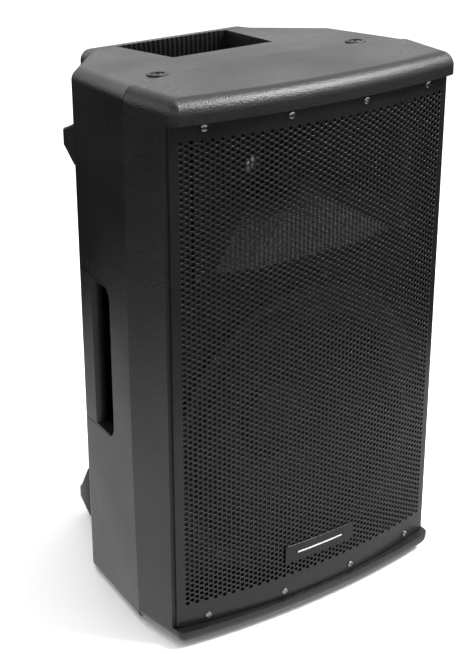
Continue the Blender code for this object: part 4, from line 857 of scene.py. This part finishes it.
def hole_centres():
    """(across, up) of every hole, by column."""
    columns = []
    for column in range(COLUMNS):
        across = (column - (COLUMNS - 1) / 2) * COLUMN_SPACING
        count = HOLES_DOWN - column % 2
        ups = [FIELD_MIDDLE + (row - (count - 1) / 2) * HOLE_PITCH for row in range(count)]
        columns.append([(across, up) for up in ups])
    return columns


def sheet_piece(name, points, faces):
    """Welds the points, walls in the open edges between the sheet's front and back, and makes the piece."""
    key = np.round(points * GRID).astype(np.int64)
    _, first, index = np.unique(key, axis=0, return_index=True, return_inverse=True)
    points, index = points[first], index.reshape(-1)
    faces = [[int(index[i]) for i in face] for face in faces]
    count = {}
    for face in faces:
        for a, b in zip(face, face[1:] + face[:1]):
            edge = (min(a, b), max(a, b))
            count[edge] = 0 if edge in count else (a, b)
    behind = {(round(u * GRID), round(v * GRID)): i for i, (u, v, depth) in enumerate(points) if depth > 0}
    for once in count.values():
        if not once:
            continue
        a, b = once
        if points[a][2] == 0 and points[b][2] == 0:
            back_a, back_b = (behind[round(points[i][0] * GRID), round(points[i][1] * GRID)] for i in (a, b))
            faces.append([b, a, back_a, back_b])
    mesh = bpy.data.meshes.new(name)
    mesh.from_pydata(on_bow(points).tolist(), [], faces)
    mesh.validate()
    return link(name, mesh)


def cell_reach():
    """Distances from a cell's centre to its six corners and the middles of its sides, in turn."""
    return np.where(np.arange(len(CELL_ANGLES)) % 2, HOLE_PITCH / 2, HOLE_PITCH / sqrt(3))


def perforated_band(name, centres):
    """Hexagonal cells of sheet, each with a round hole whose front edge is rolled."""
    around = np.stack([np.cos(CELL_ANGLES), np.sin(CELL_ANGLES)], axis=1)
    rings = [(cell_reach(), 0.0)]
    for angle in (0, 45, 90):
        rolled, sunk = 1 - sin(radians(angle)), 1 - cos(radians(angle))
        rings.append((HOLE_RADIUS + HOLE_ROLL * rolled, HOLE_ROLL * sunk))
    rings += [(HOLE_RADIUS, GRILLE_SHEET), (cell_reach(), GRILLE_SHEET)]
    layers = []
    for reach, depth in rings:
        flat = around * np.reshape(reach, (-1, 1))
        layers.append(np.concatenate([flat, np.full((len(around), 1), depth)], axis=1))
    cell = np.stack(layers)
    centres = np.concatenate([np.array(centres), np.zeros((len(centres), 1))], axis=1)
    points = centres[:, None, None, :] + cell[None]
    index = np.arange(points[..., 0].size).reshape(points.shape[:3])
    ahead = np.roll(index, -1, axis=2)
    quads = np.stack([index[:, :-1], ahead[:, :-1], ahead[:, 1:], index[:, 1:]], axis=-1)
    return sheet_piece(name, points.reshape(-1, 3), quads.reshape(-1, 4).tolist())


def rim_loop(inset, depth):
    """The grille's outer outline, moved in by inset, with a point every few millimetres."""
    half = GRILLE_HALF_WIDTH - inset
    low, high = GRILLE_BOX[0].z + inset, GRILLE_BOX[1].z - inset
    across = [(half - RIM_CORNER) * (2 * i / RIM_ACROSS - 1) for i in range(RIM_ACROSS + 1)]
    up = [low + RIM_CORNER + (high - low - 2 * RIM_CORNER) * i / RIM_UP for i in range(RIM_UP + 1)]
    outline = [(x, low) for x in across] + [(half, z) for z in up]
    outline += [(x, high) for x in reversed(across)] + [(-half, z) for z in reversed(up)]
    return [(x, z, depth) for x, z in outline]


def field_outline(columns):
    """The zigzag round the perforated field: the cells' edges that no second cell shares, end to end."""
    step = np.stack([np.cos(CELL_ANGLES), np.sin(CELL_ANGLES)], axis=1) * cell_reach()[:, None]
    edges = {}
    for centre in (centre for column in columns for centre in column):
        ring = [tuple(point) for point in np.round((np.array(centre) + step) * GRID).astype(int).tolist()]
        for a, b in zip(ring, ring[1:] + ring[:1]):
            if (b, a) in edges:
                del edges[b, a]
            else:
                edges[a, b] = True
    following = dict(edges.keys())
    start = here = next(iter(following))
    loop = []
    while True:
        loop.append((here[0] / GRID, here[1] / GRID))
        here = following[here]
        if here == start:
            return loop


def between(loop, zigzag, depth, facing):
    """Triangles of the plain border from an outer loop in to the perforated field."""
    flat = [Vector(point[:2]) for point in loop] + [Vector(point) for point in zigzag]
    split = len(loop)
    edges = [(i, (i + 1) % split) for i in range(split)]
    edges += [(split + i, split + (i + 1) % len(zigzag)) for i in range(len(zigzag))]
    _, _, triangles, origins, *_ = delaunay_2d_cdt(flat, edges, [], 1, 1e-9)
    exact = [point[:2] for point in loop] + zigzag
    places = [Vector(exact[origin[0]]) for origin in origins]
    half_width = (COLUMNS - 1) / 2 * COLUMN_SPACING
    inside = []
    for triangle in triangles:
        middle = sum((places[i] for i in triangle), Vector((0, 0))) / 3
        column = (middle.x + half_width) / COLUMN_SPACING
        in_field = False
        for near in (int(column), int(column) + 1):
            if not 0 <= near < COLUMNS:
                continue
            count = HOLES_DOWN - near % 2
            row = round((middle.y - FIELD_MIDDLE) / HOLE_PITCH + (count - 1) / 2)
            if not 0 <= row < count:
                continue
            up = FIELD_MIDDLE + (row - (count - 1) / 2) * HOLE_PITCH
            gone = middle - Vector((near * COLUMN_SPACING - half_width, up))
            turns = (Vector((cos(radians(a)), sin(radians(a)))) for a in (30, 90, 150))
            in_field = in_field or all(abs(gone.dot(turn)) <= HOLE_PITCH / 2 + 1e-7 for turn in turns)
        if not in_field:
            inside.append(list(triangle) if facing > 0 else list(reversed(triangle)))
    return [(*exact[origin[0]], depth) for origin in origins], inside


def grille_rim(columns):
    """The plain border, its rolled outer edge and the fold behind it."""
    zigzag = field_outline(columns)
    turns = [radians(angle) for angle in (0, 30, 60, 90)]
    profile = [(FOLD_RADIUS * (1 - sin(turn)), FOLD_RADIUS * (1 - cos(turn))) for turn in turns]
    profile += [(0.0, GRILLE_FOLD), (GRILLE_SHEET, GRILLE_FOLD), (GRILLE_SHEET, GRILLE_SHEET)]
    loops = [rim_loop(inset, depth) for inset, depth in profile]
    points, faces = [], []
    for outer, inner in zip(loops, loops[1:]):
        start = len(points)
        size = len(outer)
        points += outer + inner
        for i in range(size):
            j = (i + 1) % size
            faces.append([start + j, start + i, start + size + i, start + size + j])
    for loop, depth, facing in ((loops[0], 0.0, 1), (loops[-1], GRILLE_SHEET, -1)):
        places, triangles = between(loop, zigzag, depth, facing)
        start = len(points)
        points += places
        faces += [[start + i for i in triangle] for triangle in triangles]
    return sheet_piece("grille_rim", np.array(points), faces)


def grille():
    columns = hole_centres()
    each = -(-COLUMNS // BANDS)
    finished(grille_rim(columns), GRILLE_PAINT, ["grille"], sharp=GENTLE_ANGLE)
    for band in range(BANDS):
        centres = [centre for column in columns[band * each : (band + 1) * each] for centre in column]
        made = perforated_band(f"grille_mesh_{band + 1}", centres)
        finished(made, GRILLE_PAINT, ["grille"], sharp=GENTLE_ANGLE)


# ---------------------------------------------------------------- fasteners and name plate

GRILLE_SCREW = (0.0042, 0.0022, 0.00175, 0.0145)  # head radius and height, shank radius and length
DRIVER_SCREW = (0.0045, 0.0026, 0.0022, 0.014)
PANEL_SCREW = (0.0038, 0.0022, 0.0017, 0.010)
SPIN = 37  # each screw stops turned this many degrees on from the last
SCREW_DOME = 0.6  # share of the head's height that is domed
CROSS_LENGTH = 0.62  # half length and half width of the recess's arms, and its floor, as shares of the head
CROSS_WIDTH = 0.13
CROSS_FLOOR = 0.35
DOME_ANGLES = range(90, -1, -15)
BOLT_MARGIN = 0.0008  # at the bolt's top and bottom
BOLT_HEAD = 0.0030
BOLT_DOME = 0.0022
BOLT_CLEARANCE = 0.0004  # round the head
BOLT_SHANK = 0.6  # share of the CAD bolt's radius
BOLT_SOCKET = 0.42
PLATE_EASE = 0.0004  # rounding of a plate's front edges
PLATE_CORNER = 0.0018
PLATE_BACK = -0.0003
BAR_CORNER = 0.0008
BAR_HALF_HEIGHT = 0.0013
BAR_SHARE = 0.33  # the bar's half length as a share of the plate's width
BAR_THICKNESS = 0.0005
PLATE_SINK = 0.0002  # the plate's face below the bar's


def screw(name, size, place, turn, spin):
    """A pan-head screw with a cross recess, its origin under the head."""
    radius, height, shank, length = size
    profile = [(0, -length), (shank, -length), (shank, GAP), (radius, GAP)]
    for angle in DOME_ANGLES:
        rise = 1 - SCREW_DOME + SCREW_DOME * cos(radians(angle))
        profile.append((radius * sin(radians(angle)), GAP + height * rise))
    made = turned(name, profile, (0, 0, 0), (0, 0, 0), 32)
    low, high = GAP + CROSS_FLOOR * height, GAP + 2 * height
    long, short = CROSS_LENGTH * radius, CROSS_WIDTH * radius
    arms = ((long, short), (short, long))
    cut(made, *[box(f"{name}_arm_{i}", (-x, -y, low), (x, y, high)) for i, (x, y) in enumerate(arms)])
    spun = Matrix.Rotation(radians(spin), 4, "Z")
    made.data.transform(Matrix.LocRotScale(Vector(place), Euler(turn), None) @ spun)
    return finished(made, NICKEL, [name])


def fasteners():
    for i, (place, turn) in enumerate(screw_places(), 1):
        screw(f"grille_screw_{i}", GRILLE_SCREW, place, turn, SPIN * i)
    for kind, size, turn in (
        ("woofer", DRIVER_SCREW, FACE_FRONT),
        ("horn", DRIVER_SCREW, FACE_FRONT),
        ("panel", PANEL_SCREW, FACE_BACK),
    ):
        for i in range(1, 5):
            name = f"{kind}_screw_{i}"
            low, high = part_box(name)
            under_head = size[1] + GAP
            y = high.y - under_head if turn is FACE_BACK else low.y + under_head
            screw(name, size, ((low.x + high.x) / 2, y, (low.z + high.z) / 2), turn, SPIN * i)


def fly_bolts():
    """Button-head bolts with a hexagon socket in the two hanging points."""
    for name, _ in SIDES:
        low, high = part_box("fly_bolt_" + name)
        radius = (high.x - low.x) / 2
        shank, head = BOLT_SHANK * radius, radius - BOLT_CLEARANCE
        top = high.z - BOLT_MARGIN
        place = ((low.x + high.x) / 2, (low.y + high.y) / 2, top)
        length = top - low.z - BOLT_MARGIN
        profile = [(0, -length), (shank, -length), (shank, -BOLT_HEAD), (head, -BOLT_HEAD)]
        for angle in DOME_ANGLES:
            profile.append((head * sin(radians(angle)), -BOLT_DOME * (1 - cos(radians(angle)))))
        bolt = turned("bolt_" + name, profile, place, TOP_LEAN, 48)
        cut(bolt, rods("socket_" + name, BOLT_SOCKET * radius, -BOLT_DOME, 0.01, [(place, TOP_LEAN)], 6))
        finished(bolt, BOLT_STEEL, ["fly_bolt_" + name])


def bowed_plate(name, low, high, depths, corner):
    """A round-cornered plate that follows the grille; low and high are (across, up), depths back and front."""
    back, front = depths
    eased = front + PLATE_EASE
    rings = []
    for step in range(PLATE_STEPS + 1):
        share = (1 - cos(pi * step / PLATE_STEPS)) / 2
        x = low[0] + share * (high[0] - low[0])
        near = min(x - low[0], high[0] - x, corner)
        draw = min(corner - sqrt(max(corner**2 - (corner - near) ** 2, 0.0)), 0.9 * corner)
        bottom, top = low[1] + draw, high[1] - draw
        ring = [(x, bottom, back), (x, top, back), (x, top, eased), (x, top - PLATE_EASE, front)]
        ring += [(x, bottom + PLATE_EASE, front), (x, bottom, eased)]
        rings.append(on_bow(ring).tolist())
    return loft(name, rings)


def badge():
    """The name plate, plain but for a pale bar."""
    low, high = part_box("badge")
    thick = at(GRILLE_SETBACK) - low.y
    depths = (PLATE_BACK, PLATE_SINK - thick)
    plate = bowed_plate("name_plate", (low.x, low.z), (high.x, high.z), depths, PLATE_CORNER)
    finished(plate, PLATE, ["badge"])
    middle = (low.z + high.z) / 2
    bottom, top = middle - BAR_HALF_HEIGHT, middle + BAR_HALF_HEIGHT
    half = (high.x - low.x) * BAR_SHARE
    depths = (-thick + BAR_THICKNESS, -thick)
    bar = bowed_plate("name_plate_bar", (-half, bottom), (half, top), depths, BAR_CORNER)
    finished(bar, PALE_BAR, ["badge"])


# ---------------------------------------------------------------- the cone's soft rings

SOFT_RINGS = (  # node, slot, skin, number of wedges, radius that stays still, radius that moves
    ("woofer_surround", "surround_cloth", ROLL_CLOTH, 16, 0.168, 0.148),
    ("woofer_spider", "spider_cloth", SPIDER_CLOTH, 12, 0.086, 0.046),
)


def soft_rings():
    """Each ring cut into wedges, each a piece of its own with the ring's material; the CAD ring is hidden."""
    for name, slot, skin, count, still, moving in SOFT_RINGS:
        low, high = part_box(name)
        centre = (low + high) / 2
        for i in range(count):
            bm = bmesh.new()
            bm.from_mesh(NODES[name].data)
            others = []
            for face in bm.faces:
                middle = face.calc_center_median() - centre
                turn = atan2(middle.z, middle.x) % (2 * pi)
                if int(turn / (2 * pi) * count) != i:
                    others.append(face)
            bmesh.ops.delete(bm, geom=others, context="FACES")
            mesh = bpy.data.meshes.new(f"{name}_{i + 1}")
            bm.to_mesh(mesh)
            bm.free()
            wedge = finished(link(mesh.name, mesh), skin, [name], body=None, sharp=GENTLE_ANGLE)
            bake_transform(wedge)


# ---------------------------------------------------------------- stage

FLOOR_HALF_SIZE = 20
FLOOR_WHITE = 0.92
FLOOR_ROUGHNESS = 0.9
FLOOR_CARD_RADIUS = 0.85
FLOOR_CARD_Z = -0.002
FLOOR_CARD_GLOW = 0.92
WALL_CARD = (0.8, 3.2, 4.0)  # bottom, top and radius
WALL_CARD_GLOW = 1.2
OVERHEAD_PLACE = (0.2, 0.3, 3.2)
OVERHEAD_TARGET = (0, 0, 0.4)
OVERHEAD_SIZE = (3.0, 3.0)
OVERHEAD_POWER = 60
KEY_PLACE = (1.3, -1.2, 2.4)
KEY_TARGET = (0.0, -0.15, 0.65)
KEY_SIZE = (0.9, 0.9)
KEY_POWER = 115
KEY_TINT = (1.0, 0.99, 0.97)
SKY_GLOW = 1.05
CAMERA_PLACE = (-1.0254, -1.4195, 1.0815)
CAMERA_TILT = 66.578
CAMERA_PAN = -35.933
CAMERA_LENS = 80.65


def glow(name, strength):
    made = bpy.data.materials.new(name)
    made.use_nodes = True
    tree = made.node_tree
    tree.nodes.clear()
    light = node(tree, "ShaderNodeEmission", None, Color=(1.0, 1.0, 1.0, 1.0), Strength=strength)
    out = node(tree, "ShaderNodeOutputMaterial")
    tree.links.new(light.outputs[0], out.inputs["Surface"])
    return made


def reflected_only(obj):
    """A studio card: it shows in reflections, and nowhere else."""
    for ray in ("camera", "diffuse", "shadow", "transmission", "volume_scatter"):
        setattr(obj, "visible_" + ray, False)
    return obj


def area_light(name, place, target, size, power, tint=(1.0, 1.0, 1.0)):
    data = bpy.data.lights.new(name, "AREA")
    data.shape = "RECTANGLE"
    data.size, data.size_y = size
    data.energy = power
    data.color = tint
    lamp = bpy.data.objects.new(name, data)
    bpy.context.scene.collection.objects.link(lamp)
    lamp.location = place
    lamp.rotation_euler = (Vector(target) - Vector(place)).to_track_quat("-Z", "Y").to_euler()
    return lamp


def studio():
    """A pale floor, a soft sky, two lights, and a disc and a ring of card for the reflections."""
    bm = bmesh.new()
    bmesh.ops.create_grid(bm, x_segments=1, y_segments=1, size=FLOOR_HALF_SIZE)
    floor = solid("floor", bm)
    pale = bpy.data.materials.new("pale_floor")
    pale.use_nodes = True
    shader = pale.node_tree.nodes["Principled BSDF"]
    shader.inputs["Base Color"].default_value = (FLOOR_WHITE, FLOOR_WHITE, FLOOR_WHITE, 1)
    shader.inputs["Roughness"].default_value = FLOOR_ROUGHNESS
    shader.inputs["Specular IOR Level"].default_value = 0.0
    floor.data.materials.append(pale)
    floor.visible_glossy = False
    bm = bmesh.new()
    bmesh.ops.create_circle(bm, cap_ends=True, segments=CARD_SIDES, radius=FLOOR_CARD_RADIUS)
    card = solid("floor_card", bm)
    card.location.z = FLOOR_CARD_Z
    card.data.materials.append(glow("floor_card", FLOOR_CARD_GLOW))
    reflected_only(card)
    low, high, radius = WALL_CARD
    angles = [2 * pi * i / CARD_SIDES for i in range(CARD_SIDES)]
    rings = [[(radius * cos(angle), radius * sin(angle), z) for angle in angles] for z in (low, high)]
    wall = loft("wall_card", rings, capped=False)
    wall.data.materials.append(glow("wall_card", WALL_CARD_GLOW))
    reflected_only(wall)
    area_light("overhead", OVERHEAD_PLACE, OVERHEAD_TARGET, OVERHEAD_SIZE, OVERHEAD_POWER)
    area_light("key", KEY_PLACE, KEY_TARGET, KEY_SIZE, KEY_POWER, KEY_TINT)
    world = bpy.data.worlds.new("studio")
    bpy.context.scene.world = world
    world.use_nodes = True
    sky = world.node_tree.nodes["Background"]
    sky.inputs["Color"].default_value = (1, 1, 1, 1)
    sky.inputs["Strength"].default_value = SKY_GLOW
    world.cycles_visibility.glossy = False
    bpy.context.scene.view_settings.view_transform = "Standard"


def camera():
    data = bpy.data.cameras.new("camera")
    data.lens = CAMERA_LENS
    data.sensor_width = 36.0
    eye = bpy.data.objects.new("camera", data)
    bpy.context.scene.collection.objects.link(eye)
    eye.location = CAMERA_PLACE
    eye.rotation_euler = (radians(CAMERA_TILT), 0, radians(CAMERA_PAN))
    bpy.context.scene.camera = eye


camera()
studio()
carried_over()
shells()
grille()
fasteners()
fly_bolts()
badge()
soft_rings()
